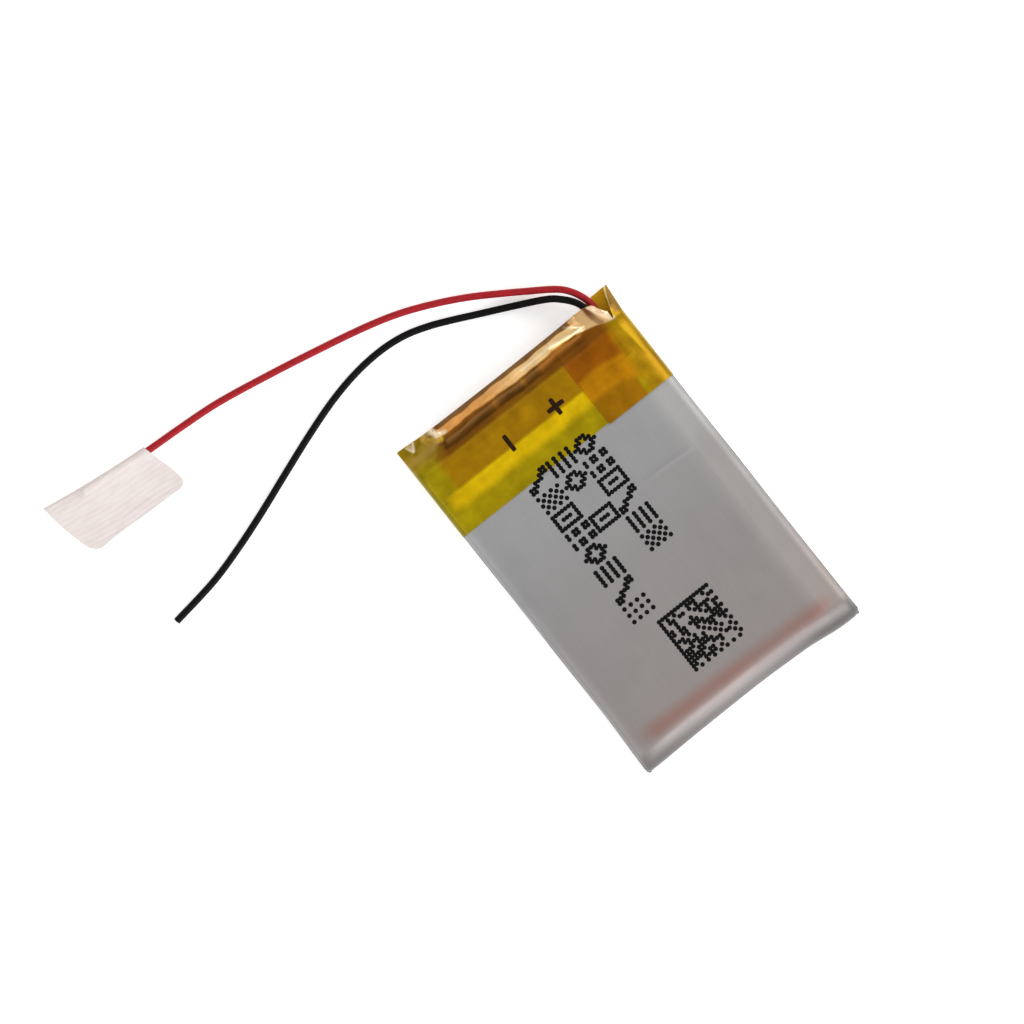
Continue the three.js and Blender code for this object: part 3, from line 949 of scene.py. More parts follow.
@dataclass
class PaperFlag:
    """A strip of creped paper folded over the red lead's end, with its plies stuck together."""

    fold_near: Flat = (-24.67, 27.77)
    cut_near: Flat = (-23.85, 23.5)
    cut_far: Flat = (-32.4, 23.74)
    fold_far: Flat = (-33.46, 28.8)
    corner_across: float = 0.17
    corner_along: float = 0.085
    wire_height: float = 0.42
    wire_radius: float = 0.275
    ply: float = 0.12
    droop: float = 0.27
    below_wire: float = 0.39
    clear_of_floor: float = 0.02
    crepe_height: float = 0.008
    crepe_step: float = 0.38
    nose: float = 0.05
    columns: int = 150
    rows: int = 90

    def outline(self, s: np.ndarray, t: np.ndarray) -> tuple[np.ndarray, np.ndarray]:
        """Places grid points inside the flag's bowed four-sided outline.

        Args:
            s: share from the near side to the far side.
            t: share from the fold to the cut ends.

        Returns:
            The points' x and y.
        """
        # The two cut corners are snipped round.
        a = np.clip(1 - (1 - t) / self.corner_across, 0, None)
        first = np.clip(1 - s / self.corner_along, 0, None)
        last = np.clip(1 - (1 - s) / self.corner_along, 0, None)
        t = t - self.corner_across * a * (1 - np.sqrt(1 - (first + last) ** 2 / 2))
        s = s + self.corner_along * (first - last) * (1 - np.sqrt(1 - a**2 / 2))
        near = [np.array(self.fold_near), np.array(self.cut_near)]
        far = [np.array(self.fold_far), np.array(self.cut_far)]
        top = near[0] + (far[0] - near[0]) * s[..., None]
        low = near[1] + (far[1] - near[1]) * s[..., None]
        spot = top + (low - top) * t[..., None]
        arch_s = 4 * s * (1 - s)
        arch_t = 4 * t * (1 - t)
        x = spot[..., 0] + arch_t * (0.3 * t * (1 - s) - 0.18 * s)
        y = spot[..., 1] - arch_s * (0.10 * (1 - t) - 0.10 * t) + 0.02 * np.sin(11 * s) * t
        return x, y

    def heights(
        self, x: np.ndarray, y: np.ndarray, t: np.ndarray, wire: list[Flat]
    ) -> tuple[np.ndarray, np.ndarray]:
        """Finds the flag's upper and lower face.

        Args:
            x: the points' x.
            y: the points' y.
            t: share from the fold to the cut ends.
            wire: the wire's line inside the flag.

        Returns:
            Heights of the upper and of the lower face.
        """
        away = line_distance(x, y, wire)
        wrap = self.wire_radius + self.ply
        hump = np.sqrt(np.clip(wrap**2 - away**2, 0, None))
        skirt = self.ply + 0.2 * np.exp(-((away / 0.62) ** 2))
        body = np.maximum(hump, skirt)
        middle = self.wire_height - self.droop * ease(0.12, 0.8, t)
        phase = 2 * math.pi * (y + 0.11 * x) / self.crepe_step + 1.5 * np.sin(0.8 * x)
        crepe = self.crepe_height * np.sin(phase)
        sag = 0.05 * np.sin(0.55 * x + 1.1) * ease(0.2, 0.9, t)
        over = middle + body + crepe + sag
        below = np.maximum(np.minimum(hump, self.below_wire), self.ply)
        return over, np.maximum(middle - below + crepe + sag, self.clear_of_floor)

    def build(self, finish: CrepePaperFinish, wire: list[Flat]) -> bpy.types.Object:
        """Makes the folded flag as one closed skin.

        Args:
            finish: the paper.
            wire: the wire's line inside the flag.

        Returns:
            The flag.
        """
        edge = 1 - np.cos(np.linspace(0, math.pi, self.rows))
        s, t = np.meshgrid(np.linspace(0, 1, self.columns), edge / 2, indexing="ij")
        x, y = self.outline(s, t)
        over, under = self.heights(x, y, t, wire)
        # The fold closes in a round nose, and the cut ends stay square.
        nose = np.sqrt(np.clip(1 - (1 - np.clip(t / self.nose, 0, 1)) ** 2, 0, 1))
        middle = (over + under) / 2
        over = middle + (over - middle) * nose
        under = middle + (under - middle) * nose
        count = self.columns * self.rows
        top = np.stack([x, y, over], -1).reshape(-1, 3)
        low = np.stack([x, y, under], -1).reshape(-1, 3)
        faces = [f[::-1] for f in grid_faces(self.columns, self.rows)]
        faces += grid_faces(self.columns, self.rows, count)
        ring = [c * self.rows for c in range(self.columns)]
        ring += [(self.columns - 1) * self.rows + r for r in range(1, self.rows)]
        ring += [c * self.rows + self.rows - 1 for c in range(self.columns - 2, -1, -1)]
        ring += list(range(self.rows - 2, 0, -1))
        for a, b in zip(ring, ring[1:] + ring[:1]):
            faces.append((a, b, b + count, a + count))
        flag = make_piece("paper_flag", np.concatenate([top, low]), faces)
        tidy = bmesh.new()
        tidy.from_mesh(flag.data)
        bmesh.ops.recalc_face_normals(tidy, faces=tidy.faces)
        tidy.to_mesh(flag.data)
        tidy.free()
        paint(smooth(flag, 60), finish.make())
        return settle(flag, "white_tape", "lead_end_flag")


# ---------------------------------------------------------------------------
# Pouch
# ---------------------------------------------------------------------------


@dataclass
class Pouch:
    """The drawn cup, its flat cover and the seals folded up along the sides."""

    wall: float = 9.70
    face: float = 3.2
    base: float = 0.2
    tuck_level: float = 1.75
    end: float = 13.0
    end_radius: float = 0.7
    foot_start: float = -12.75
    foot: float = -14.97
    film: float = 0.11
    seal_top: float = 2.02
    inner_seal: float = 9.765
    outer_seal: float = 9.885
    seal_low: float = 0.24
    seal_start: float = 12.9
    seal_stop: float = -14.7
    seal_stop_top: float = 1.5
    seam_half: float = 8.85
    seam_low: float = 0.3
    cover_half: float = 9.9
    cover_end: float = 12.95
    pillow: float = 0.018
    foot_lift: float = 0.22
    cover_level: float = 0.115

    def foot_reach(self, x: np.ndarray | float) -> np.ndarray:
        """How far the foot's edge reaches beyond its middle line at x."""
        path = [(-10, -0.1), (-9.7, 0.05), (-5, -0.04), (0, -0.08), (5, 0.07), (8.5, 0.42)]
        return through([*path, (9.4, 0.43), (9.75, 0.32), (10, 0.1)], x)

    def foot_flare(self, x: np.ndarray | float, y: np.ndarray) -> np.ndarray:
        """How far sideways the foot's corners are pressed out at a point."""
        left = ease(-9.0, -15.0, y) * ease(-7.0, -9.7, x)
        right = ease(-12.0, -15.0, y) * ease(8.5, 9.7, x)
        return 0.07 * right - 0.13 * left

    def section(self) -> tuple[np.ndarray, np.ndarray]:
        """Traces the cup's outer section across the cell, from left to right.

        Returns:
            The section's x and its height as a share of the wall's full height.
        """
        left = [(-9.9, 2.05), (-9.88, 2.3), (-9.78, 2.54), (-9.55, 2.74), (-9.2, 2.89)]
        left += [(-8.8, 3.0), (-8.4, 3.08), (-7.9, 3.15), (-7.4, 3.19), (-6.9, self.face)]
        right = [(6.7, self.face), (7.2, 3.17), (7.7, 3.07), (8.3, 2.89), (9.0, 2.68)]
        right += [(9.4, 2.56), (9.7, 2.4), (9.85, 2.24), (9.89, 2.05)]
        foot_left = [(-self.wall, self.base), (-self.wall, 1.0), (-self.wall, self.tuck_level)]
        foot_right = [(self.wall, self.tuck_level), (self.wall, 1.0), (self.wall, self.base)]
        x, z = even_steps(foot_left + left + right + foot_right, 0.16).T
        return x, (z - self.base) / (self.face - self.base)

    def stations(self) -> tuple[np.ndarray, np.ndarray]:
        """Lists the places along the cell and the cup's height at each.

        Returns:
            The stations' y and the height of the face there.
        """
        end_turn = np.linspace(0, math.pi / 2, 10)
        end_y = self.end - self.end_radius * (1 - np.cos(end_turn))
        end_z = self.face - self.end_radius * (1 - np.sin(end_turn))
        roll = [(0, self.face), (0.4, 3.195), (0.75, 3.15), (1.1, 3.02), (1.5, 2.77), (1.85, 2.45)]
        roll += [(2.05, 2.15), (2.17, 1.78), (2.22, 1.35)]
        away = np.concatenate([np.linspace(0, 1.8, 26), np.linspace(1.84, 2.22, 22)])
        foot_y = self.foot_start - away
        foot_z = through(roll, away)
        body = np.linspace(end_y[-1], foot_y[0], 170)[1:-1]
        y = np.concatenate([[self.end] * 4, end_y, body, foot_y, [self.foot] * 3])
        z = np.concatenate(
            [
                np.linspace(self.base, end_z[0], 5)[:-1],
                end_z,
                [self.face] * len(body),
                foot_z,
                [1.0, 0.6, self.base],
            ]
        )
        return y, z

    def relief(self, x: np.ndarray, y: np.ndarray) -> np.ndarray:
        """The face's shallow waves, its pinched crease and a small dent.

        Args:
            x: the points' x.
            y: the points' y.

        Returns:
            Heights to add to the face.
        """
        waves = 0.010 * np.sin(0.55 * x + 0.3 * y) + 0.008 * np.sin(0.4 * y - 0.8)
        crease = line_distance(x, y, [(2.9, 2.45), (6.0, 2.3), (8.3, 2.2), (8.7, 1.9)])
        strength = ease(2.4, 5.0, x)
        fold = 0.05 * strength * np.exp(-((crease / 0.12) ** 2))
        dent = -0.03 * np.exp(-(np.hypot(x + 5.3, (y - 5.6) * 1.8) / 0.25) ** 2)
        return waves + fold + dent - 0.02

    def build_cup(self, finish: bpy.types.Material) -> bpy.types.Object:
        """Makes the cup and the inner plies of its side and end seals.

        Args:
            finish: the film's material.

        Returns:
            The cup.
        """
        sx, share = self.section()
        sy, top = self.stations()
        x, y = np.meshgrid(sx, sy, indexing="ij")
        height = np.meshgrid(sx, top, indexing="ij")[1]
        rel = np.meshgrid(share, sy, indexing="ij")[0]
        z = self.base + (height - self.base) * rel
        z = z + self.relief(x, y) * ease(0.93, 1.0, rel) * ease(self.base, self.face, height)
        y = y - self.foot_reach(x) * ease(-9.0, self.foot, y)
        x = x + self.foot_flare(x, y)
        points = np.stack([x, y, z], -1).reshape(-1, 3)
        faces = [f[::-1] for f in grid_faces(len(sx), len(sy))]
        cup = thicken(make_piece("cup", points, faces), self.film, -1)
        plies = [cup]
        for side in (-1, 1):
            plies.append(self.seal_ply(side, self.inner_seal, 0.0))
        plies.append(self.end_ply(self.end + 0.066, 2.28))
        whole = smooth(join_pieces("pouch_cup_film", plies), 42)
        paint(whole, finish)
        return settle(whole, "laminate_film", "pouch_cup")

    def seal_ply(self, side: int, place: float, shift: float) -> bpy.types.Object:
        """Makes one ply of a folded-up side seal as a slightly wavy strip.

        Args:
            side: minus one for the left side, one for the right.
            place: distance of the ply's middle from the cell's middle.
            shift: how much lower its upper edge is.

        Returns:
            The closed strip.
        """
        along = np.linspace(self.seal_start, self.seal_stop, 150)
        up = np.linspace(0, 1, 9)
        y, t = np.meshgrid(along, up, indexing="ij")
        edge = self.seal_top - shift + 0.03 * np.sin(0.9 * y + side) + 0.015 * np.sin(2.7 * y)
        fall = ease(self.foot_start - 0.3, self.seal_stop, y)
        edge = edge - fall * (edge - self.seal_stop_top)
        z = self.seal_low + (edge - self.seal_low) * t
        wave = 0.010 * np.sin(0.6 * y + 2 * side) * t
        x = side * (place + wave + 0.008 * t)
        x = x + self.foot_flare(x, y)
        y = y - self.foot_reach(side * 9.75) * ease(-11.0, self.seal_stop, y)
        points = np.stack([x, y, z], -1).reshape(-1, 3)
        strip = make_piece("seal", points, grid_faces(len(along), len(up)))
        return thicken(strip, self.film - 0.004)

    def end_ply(self, place: float, top: float) -> bpy.types.Object:
        """Makes one ply of the end seal, folded up behind the board.

        Args:
            place: y of the ply's middle.
            top: height of its upper edge.

        Returns:
            The closed strip.
        """
        across = np.linspace(-self.seam_half, self.seam_half, 90)
        up = np.linspace(0, 1, 8)
        x, t = np.meshgrid(across, up, indexing="ij")
        edge = top + 0.03 * np.sin(1.3 * x)
        z = self.seam_low + (edge - self.seam_low) * t
        y = np.full_like(x, place)
        points = np.stack([x, y, z], -1).reshape(-1, 3)
        strip = make_piece("end_seal", points, grid_faces(len(across), len(up)))
        return thicken(strip, self.film - 0.006)

    def build_cover(self, finish: bpy.types.Material) -> bpy.types.Object:
        """Makes the flat cover with the outer plies of its seals.

        Args:
            finish: the film's material.

        Returns:
            The cover.
        """
        across = np.linspace(-self.cover_half, self.cover_half, 120)
        flat_part = np.linspace(self.cover_end, -14.3, 140)
        along = np.concatenate([flat_part, np.linspace(-14.35, -15.0, 16)])
        x, y = np.meshgrid(across, along, indexing="ij")
        pillow = self.pillow * np.sin(0.5 * x + 0.8) * np.sin(0.45 * y)
        z = self.cover_level + np.abs(pillow) * ease(self.cover_half, 8.5, np.abs(x))
        z = z + self.foot_lift * ease(-14.5, -15.0, y) ** 2
        x = x + self.foot_flare(x, y)
        y = y - self.foot_reach(x) * ease(-9.0, -15.0, y)
        points = np.stack([x, y, z], -1).reshape(-1, 3)
        sheet = thicken(make_piece("cover", points, grid_faces(len(across), len(along))), self.film)
        plies = [sheet]
        for side in (-1, 1):
            plies.append(self.seal_ply(side, self.outer_seal, 0.07))
        plies.append(self.end_ply(self.end + 0.184, 2.24))
        whole = smooth(join_pieces("pouch_cover_film", plies), 42)
        paint(whole, finish)
        return settle(whole, "laminate_film", "pouch_cover")


# ---------------------------------------------------------------------------
# Amber tapes
# ---------------------------------------------------------------------------


def store_tints(piece: bpy.types.Object, points: np.ndarray, shades: np.ndarray) -> None:
    """Stores the depth of amber, with its painted highlights and shade, on a mesh, by the nearest
    made point.

    Args:
        piece: the sheet, whose doubled points have been welded.
        points: the made points in millimetres.
        shades: a linear colour for each.
    """
    lookup = {tuple(np.round(p * MM, 8)): s for p, s in zip(points, shades)}
    layer = piece.data.color_attributes.new(FILM_TINT, "FLOAT_COLOR", "POINT")
    for vertex, spot in zip(piece.data.vertices, layer.data):
        key = tuple(np.round(np.array(vertex.co, float), 8))
        shade = lookup.get(key)
        if shade is None:
            near = np.argmin(((points * MM - np.array(vertex.co)) ** 2).sum(1))
            shade = shades[near]
        spot.color = (*shade, 1.0)


@dataclass
class TapeTints:
    """How deep the amber looks over each thing under it, with painted highlights, painted light and
    painted shade.
    """

    one_ply: str = "#AA9400"
    one_ply_left: str = "#AC9800"
    one_ply_right: str = "#AD8500"
    # Painted highlight on the band where the tape is tented over the step.
    bridge_highlight: str = "#E2BC00"
    overlap: str = "#A46F00"
    two_plies: str = "#A87B00"
    three_plies: str = "#995600"
    three_low: str = "#C08000"
    chips: str = "#583602"
    # Painted shade over the gap between the cup's end and the board.
    board_gap_shade: str = "#7E4A02"
    # Painted highlights on the ridge over the board's top edge, the second brighter to the right.
    ridge: str = "#E8A45A"
    ridge_highlight_right: str = "#F6CF94"
    # Painted highlights on pinched creases.
    pale_highlight: str = "#FFEBC8"
    # Painted highlight along the dog-ear's fold.
    ear_fold_highlight: str = "#D2AA38"
    dog_ear: str = "#A28200"
    flat_tan: str = "#DAB47C"
    lead_shadow: str = "#7A4A2C"
    # Painted highlight on the curled free edge.
    curl: str = "#FFE2BC"
    # Painted light inside the tape's mouth.
    mouth: str = "#FFC21E"
    lapel: str = "#94702C"
    # Painted highlight along the flap's folded edge.
    lapel_edge_highlight: str = "#F2DA98"
    fold_yellow: str = "#AA8600"
    back: str = "#A88C0A"
    # Painted shade where the tape turns down over the board's top edge.
    rim_shade: str = "#84603A"

    # How far each painted highlight on a pinched crease reaches, and its line.
    highlight_creases: ClassVar[list[tuple[float, list[Flat]]]] = [
        (0.4, [(-6.95, 15.2), (-6.8, 14.85)]),
        (0.26, [(-6.8, 14.75), (-6.2, 14.62)]),
        (0.11, [(-9.22, 15.42), (-8.94, 14.82), (-8.6, 15.4)]),
        (0.07, [(-9.1, 15.2), (-8.94, 14.86), (-8.75, 15.15)]),
        (0.12, [(5.65, 15.2), (6.1, 14.85), (6.7, 14.35)]),
        (0.12, [(3.6, 14.78), (5.2, 14.55), (6.6, 14.3)]),
        (0.12, [(1.2, 14.62), (3.6, 14.7)]),
    ]

    def lay(self, base: str, layers: list[Layer], shape: tuple[int, ...]) -> np.ndarray:
        """Lays colours over a base, one after the other.

        Args:
            base: sRGB hex of the lowest colour.
            layers: sRGB hex of each colour above it, and the share of it that shows.
            shape: shape of the points' arrays.

        Returns:
            Linear colours.
        """
        colour = np.empty((*shape, 3))
        colour[:] = linear(base)[:3]
        for tint, share in layers:
            new = np.array(linear(tint)[:3])
            colour = colour + (new - colour) * np.clip(share, 0, 1)[..., None]
        return colour

    def plies(self, x: np.ndarray, y: np.ndarray) -> list[Layer]:
        """Lists the depths of one, two and three plies over the face, and the painted highlight on
        the tented band.

        Args:
            x: the points' x.
            y: the points' y.

        Returns:
            The layers, lowest first.
        """
        # Painted highlight on the band where the tape is tented over the step.
        band = ease(8.9, 9.7, y) * ease(10.62, 10.52, y)
        arch = 9.72 - 0.11 * (x - 5.3) ** 2
        lap = ease(3.6, 4.1, x) * ease(8.4, 7.6, x)
        sag = 10.7 + 0.35 * bump(x, 5.4, 1.7)
        patch = ease(3.8, 4.0, x) * ease(7.8, 7.45, x) * ease(arch + 0.3, arch - 0.3, y)
        inner = ease(10.52, 10.62, y) * ease(-8.5, -7.6, x) * ease(8.9, 8.2, x)
        return [
            (self.one_ply_left, ease(-7.4, -8.6, x)),
            (self.one_ply_right, ease(7.5, 8.3, x)),
            (self.bridge_highlight, band * ease(-9.6, -8.6, x) * ease(8.6, 4.6, x)),
            (self.overlap, patch),
            (self.two_plies, inner),
            (self.three_low, ease(arch - 0.5, arch + 0.1, y) * lap),
            (self.three_plies, ease(sag, sag + 0.55, y) * lap),
        ]

    def over_board(self, x: np.ndarray, y: np.ndarray, lip: np.ndarray) -> list[Layer]:
        """Lists what the board and its chips add, with painted shade over the gap and painted
        highlights and light at the ridge.

        Args:
            x: the points' x.
            y: the points' y.
            lip: the points' y, wavy where the ridge turns over.

        Returns:
            The layers, lowest first.
        """
        wander = crest_wander(x) + 0.015 * np.sin(6.1 * x)
        y_board = y + wander * ease(13.0, 13.6, y) * ease(15.1, 14.6, y)
        # Painted shade darkens the tape over the gap between the cup's end and the board.
        gap = ease(12.75, 13.2, y) * ease(-7.9, -6.8, x) * ease(8.7, 7.6, x)
        gap = gap * (0.6 + 0.4 * ease(-1.0, 3.0, np.abs(x)))
        chips = ease(13.3, 13.46, y_board) * ease(14.3, 14.12, y_board) * ease(-7.1, -6.8, x)
        chips = chips * (ease(2.6, 1.9, x) + 0.25 * ease(1.9, 2.6, x) * ease(7.0, 6.0, x))
        chips = chips * (1 - 0.45 * (bump(x, -1.9, 0.22) + bump(x, 0.75, 0.18)))
        # A faint patch of painted light, in the lighter three-ply colour, lies just below the
        # ridge.
        lit = ease(14.12, 14.3, y) * ease(2.2, 3.2, x) * ease(5.6, 4.6, x) * ease(13.6, 13.9, y)
        narrow = 0.16 * ease(-1.0, -5.0, x)
        # Painted highlights run along the ridge over the board's top edge, brighter to the right.
        ridge = ease(14.22 + narrow, 14.42 + narrow, y_board) * ease(15.1, 14.97, lip)
        ridge = ridge * ease(-7.1, -6.6, x) * ease(6.9, 6.2, x)
        return [
            (self.board_gap_shade, gap),
            (self.chips, chips),
            (self.three_low, 0.5 * lit),
            (self.ridge, ridge),
            (self.ridge_highlight_right, ridge * ease(-3.6, 3.0, x)),
        ]

    def at_corners(self, x: np.ndarray, y: np.ndarray) -> list[Layer]:
        """Lists the folded ears and the tape over the leads, with painted highlights on the
        creases, fold and curl, and the painted shadow of the lead.

        Args:
            x: the points' x.
            y: the points' y.

        Returns:
            The layers, lowest first.
        """
        ear = line_distance(x, y, [(-7.75, 15.15), (-7.35, 14.65), (-6.8, 14.45)])
        inside = line_distance(x, y, [(-8.95, 15.45), (-8.93, 15.1)])
        tan_line = through([(5.6, 14.15), (6.8, 13.95), (7.6, 13.75), (8.5, 13.42), (9.1, 13.3)], x)
        tan = ease(0.0, 0.18, y - tan_line) * ease(5.9, 6.6, x) * ease(9.3, 9.1, x)
        lead = line_distance(x, y, [(8.12, 13.75), (7.9, 14.3), (7.8, 14.9), (7.8, 15.4)])
        lead = ease(0.34, 0.12, lead) * (0.6 + 0.4 * ease(13.7, 15.2, y))
        curl = line_distance(x, y, [(8.2, 15.3), (8.42, 14.7), (8.72, 14.1), (9.0, 13.62)])
        yellow = line_distance(x, y, [(9.05, 13.4), (9.1, 12.4), (9.35, 10.2)])
        yellow = ease(0.45, 0.1, yellow) * ease(13.5, 13.2, y) * ease(9.8, 10.6, y)
        return [
            (self.dog_ear, ease(13.2, 14.0, y) * ease(-6.9, -7.6, x)),
            # A painted highlight runs along the dog-ear's fold.
            (self.ear_fold_highlight, 0.85 * ease(0.45, 0.15, ear)),
            # A faint painted highlight fills the inside of the dog-ear's V crease.
            (self.pale_highlight, 0.3 * ease(0.26, 0.1, inside)),
            (self.flat_tan, tan),
            # Painted highlights lie along the pinched creases.
            *(
                (self.pale_highlight, 0.8 * ease(reach, reach * 0.3, line_distance(x, y, path)))
                for reach, path in self.highlight_creases
            ),
            (self.lead_shadow, tan * lead),
            # A painted highlight lies on the curled free edge.
            (self.curl, tan * ease(0.36, 0.2, curl)),
            (self.fold_yellow, yellow),
        ]

    def front(self, x: np.ndarray, y: np.ndarray) -> np.ndarray:
        """Works out the colour of the tape's front, point by point.

        Args:
            x: the points' x.
            y: the points' y.

        Returns:
            Linear colours.
        """
        lip = y + 0.04 * np.sin(1.1 * x) + 0.03 * np.sin(3.1 * x + 2.0)
        # Painted shade lies along the rim where the tape turns down over the board's top edge.
        rim_shade = ease(14.98, 15.12, lip) * ease(-6.6, -6.2, x) * ease(6.6, 5.6, x)
        layers = [*self.plies(x, y), *self.over_board(x, y, lip), *self.at_corners(x, y)]
        colour = self.lay(self.one_ply, [*layers, (self.rim_shade, 0.85 * rim_shade)], x.shape)
        # Painted shade darkens the tape towards its side edges.
        edge = ease(9.35, 9.8, np.abs(x)) * ease(13.6, 13.2, y)
        return colour * (1 - 0.3 * edge)[..., None]

    def side(self, x: np.ndarray, y: np.ndarray, z: np.ndarray) -> np.ndarray:
        """Works out the colour of the tape's sides and back.

        Args:
            x: the points' x.
            y: the points' y.
            z: the points' z.

        Returns:
            Linear colours.
        """
        over_board = ease(13.1, 13.5, y) * ease(-7.4, -6.8, x) * ease(6.8, 6.0, x)
        lapel = ease(13.4, 13.8, y) * ease(9.2, 9.5, x) * ease(0.2, 0.6, z)
        edge = line_distance(x, y, [(9.08, 14.0), (9.9, 15.8)])
        layers = [
            # Painted shade darkens the back over the board and its gap.
            (self.board_gap_shade, 0.7 * over_board),
            # The inside of the mouth is painted far lighter than the back, as painted light.
            (self.mouth, ease(13.5, 14.2, y) * ease(7.6, 8.2, x)),
            (self.lapel, lapel),
            # A painted highlight runs along the flap's folded edge.
            (self.lapel_edge_highlight, ease(0.2, 0.06, edge) * ease(0.4, 0.9, z)),
        ]
        return self.lay(self.back, layers, x.shape)


@dataclass
class TapeCollar:
    """One strip of amber tape wound once round the cell's end, with its ends overlapping."""

    ply: float = 0.05
    half_width: float = 9.972
    back_level: float = 0.027
    low_inner: float = 7.5
    low_outer: float = 7.36
    inner_end: float = 7.57
    outer_end: float = 3.93
    crease_level: float = 13.5
    notch: float = 9.02
    shoulder_share: float = 0.62
    overlap_lift: float = 0.056
    drop_reach: float = 0.24
    drop_power: float = 20.0
    drop_level: float = 0.13
    roll_step: float = 0.085
    back_inset: float = 0.12
    curl_lift: float = 0.32
    curl_back: float = 0.08
    lean: float = 0.22
    flare: float = 0.6
    slump: float = 0.42

    left_roll: ClassVar[list[Flat]] = [
        (0.0, 0.62), (0.02, 0.72), (0.1, 0.79), (0.3, 0.86), (0.65, 0.905), (1.05, 0.937),
        (1.5, 0.964), (2.0, 0.984), (2.6, 0.996), (3.1, 1.0),
    ]
    right_roll: ClassVar[list[Flat]] = [
        (0.0, 0.62), (0.05, 0.70), (0.2, 0.76), (0.5, 0.82), (0.9, 0.87), (1.4, 0.92),
        (1.9, 0.96), (2.4, 0.985), (3.0, 1.0),
    ]
    front_rim: ClassVar[list[Flat]] = [
        (-10.1, 15.6), (-8.0, 15.46), (-6.43, 15.4), (-4.2, 15.38), (-1.0, 15.37), (2.6, 15.39),
        (5.0, 15.42), (7.6, 15.46), (8.1, 15.4), (8.45, 15.25), (8.75, 14.6), (9.02, 14.15),
    ]
    back_rim: ClassVar[list[Flat]] = [
        (-10.1, 15.6), (-6.43, 15.38), (-1.0, 15.35), (2.6, 15.39), (7.4, 15.48), (8.5, 15.74),
        (10.3, 15.8),
    ]
    left_rise: ClassVar[list[Flat]] = [
        (7.3, 3.25), (10.5, 3.25), (12.2, 3.25), (12.8, 3.16), (13.3, 2.86), (13.9, 2.2),
        (14.5, 1.25), (15.0, 0.6), (15.4, 0.26), (15.6, 0.12),
    ]
    middle_rise: ClassVar[list[Flat]] = [
        (7.3, 3.25), (9.3, 3.25), (10.4, 3.30), (12.3, 3.31), (12.8, 3.22), (13.2, 2.98),
        (13.55, 2.86), (13.85, 2.93), (14.15, 3.07), (14.5, 3.13), (15.0, 3.15),
    ]
    right_rise: ClassVar[list[Flat]] = [
        (7.3, 3.25), (9.3, 3.25), (10.4, 3.30), (12.4, 3.31), (13.0, 3.16), (13.5, 2.92),
        (13.9, 2.86), (14.3, 2.84), (14.8, 2.72), (15.5, 2.5),
    ]

    def rise(self, x: np.ndarray, y: np.ndarray, rim: np.ndarray) -> np.ndarray:
        """Finds the height of the front ply over a point.

        Args:
            x: the points' x.
            y: the points' y.
            rim: y of the ply's upper edge at each point.

        Returns:
            The heights.
        """
        left = through(self.left_rise, y)
        wander = crest_wander(x) * ease(12.9, 13.4, y) * ease(14.5, 14.1, y)
        crest = through(self.middle_rise, y + wander)
        drop = np.clip((y - rim + self.drop_reach) / self.drop_reach, 0, 1) ** self.drop_power
        middle = crest + (self.drop_level - crest) * drop
        right = through(self.right_rise, y)
        near_left = ease(-6.5, -8.0, x)
        near_right = ease(6.0, 6.9, x)
        height = middle + (left - middle) * near_left
        height = height + (right - height) * near_right
        return height + self.creases(x, y)

    def creases(self, x: np.ndarray, y: np.ndarray) -> np.ndarray:
        """The sharp small folds where the tape is pinched.

        Args:
            x: the points' x.
            y: the points' y.

        Returns:
            Heights to add to the front ply.
        """
        folds = [
            (0.26, 0.15, [(-9.2, 15.5), (-8.95, 14.75), (-8.5, 15.45)]),
            (0.12, 0.22, [(-6.7, 14.85), (-7.3, 14.6), (-7.75, 15.0)]),
            (0.10, 0.18, [(-6.7, 15.0), (-7.3, 15.1)]),
            (0.12, 0.14, [(5.65, 15.2), (6.1, 14.85), (6.7, 14.35)]),
            (0.08, 0.16, [(3.8, 14.75), (5.2, 14.55), (6.7, 14.35)]),
            (0.025, 0.16, [(-2.6, 14.62), (0.4, 14.74), (1.6, 14.85)]),
            (0.03, 0.2, [(9.02, 13.4), (9.1, 12.2), (9.4, 10.1)]),
            (0.02, 0.14, [(-8.0, 10.58), (0, 10.52), (8.6, 10.5)]),
        ]
        height = np.zeros(np.broadcast(x, y).shape)
        for amount, width, path in folds:
            height = height + amount * np.exp(-((line_distance(x, y, path) / width) ** 2))
        ripple = 0.012 * np.sin(1.7 * x + 0.8 * y) + 0.010 * np.sin(2.9 * x - 1.3 * y + 1)
        return height + ripple * ease(9.0, 11.0, y)

    def columns(self) -> list[tuple[float, float, bool]]:
        """Lists the strip's columns from its inner end, round the cell, to its outer end.

        Returns:
            Each column's x, its height as a share of the front's height, and whether it
            belongs to the strip's outer run over the front.
        """
        left_in, left_z = even_steps(self.left_roll, self.roll_step).T
        left_x = left_in - self.half_width
        right_in, right_z = even_steps(self.right_roll, self.roll_step).T
        right_x = self.half_width - right_in
        wall = np.linspace(self.shoulder_share, 0.06, 9)[1:]
        front_x = np.linspace(self.inner_end, left_x[-1], 150)
        made = [(x, 1.0, False) for x in front_x[:-1]]
        for x, share in zip(left_x[::-1], left_z[::-1]):
            made.append((float(x), float(share), False))
        made += [(-self.half_width, float(w), False) for w in wall]
        back_half = self.half_width - self.back_inset
        back_x = np.linspace(-back_half, back_half, 80)
        made += [(float(x), 0.0, False) for x in back_x]
        made += [(self.half_width, float(w), True) for w in wall[::-1]]
        for x, share in zip(right_x, right_z):
            made.append((float(x), float(share), True))
        outer_x = np.linspace(right_x[-1], self.outer_end, 32)[1:]
        made += [(float(x), 1.0, True) for x in outer_x]
        return made

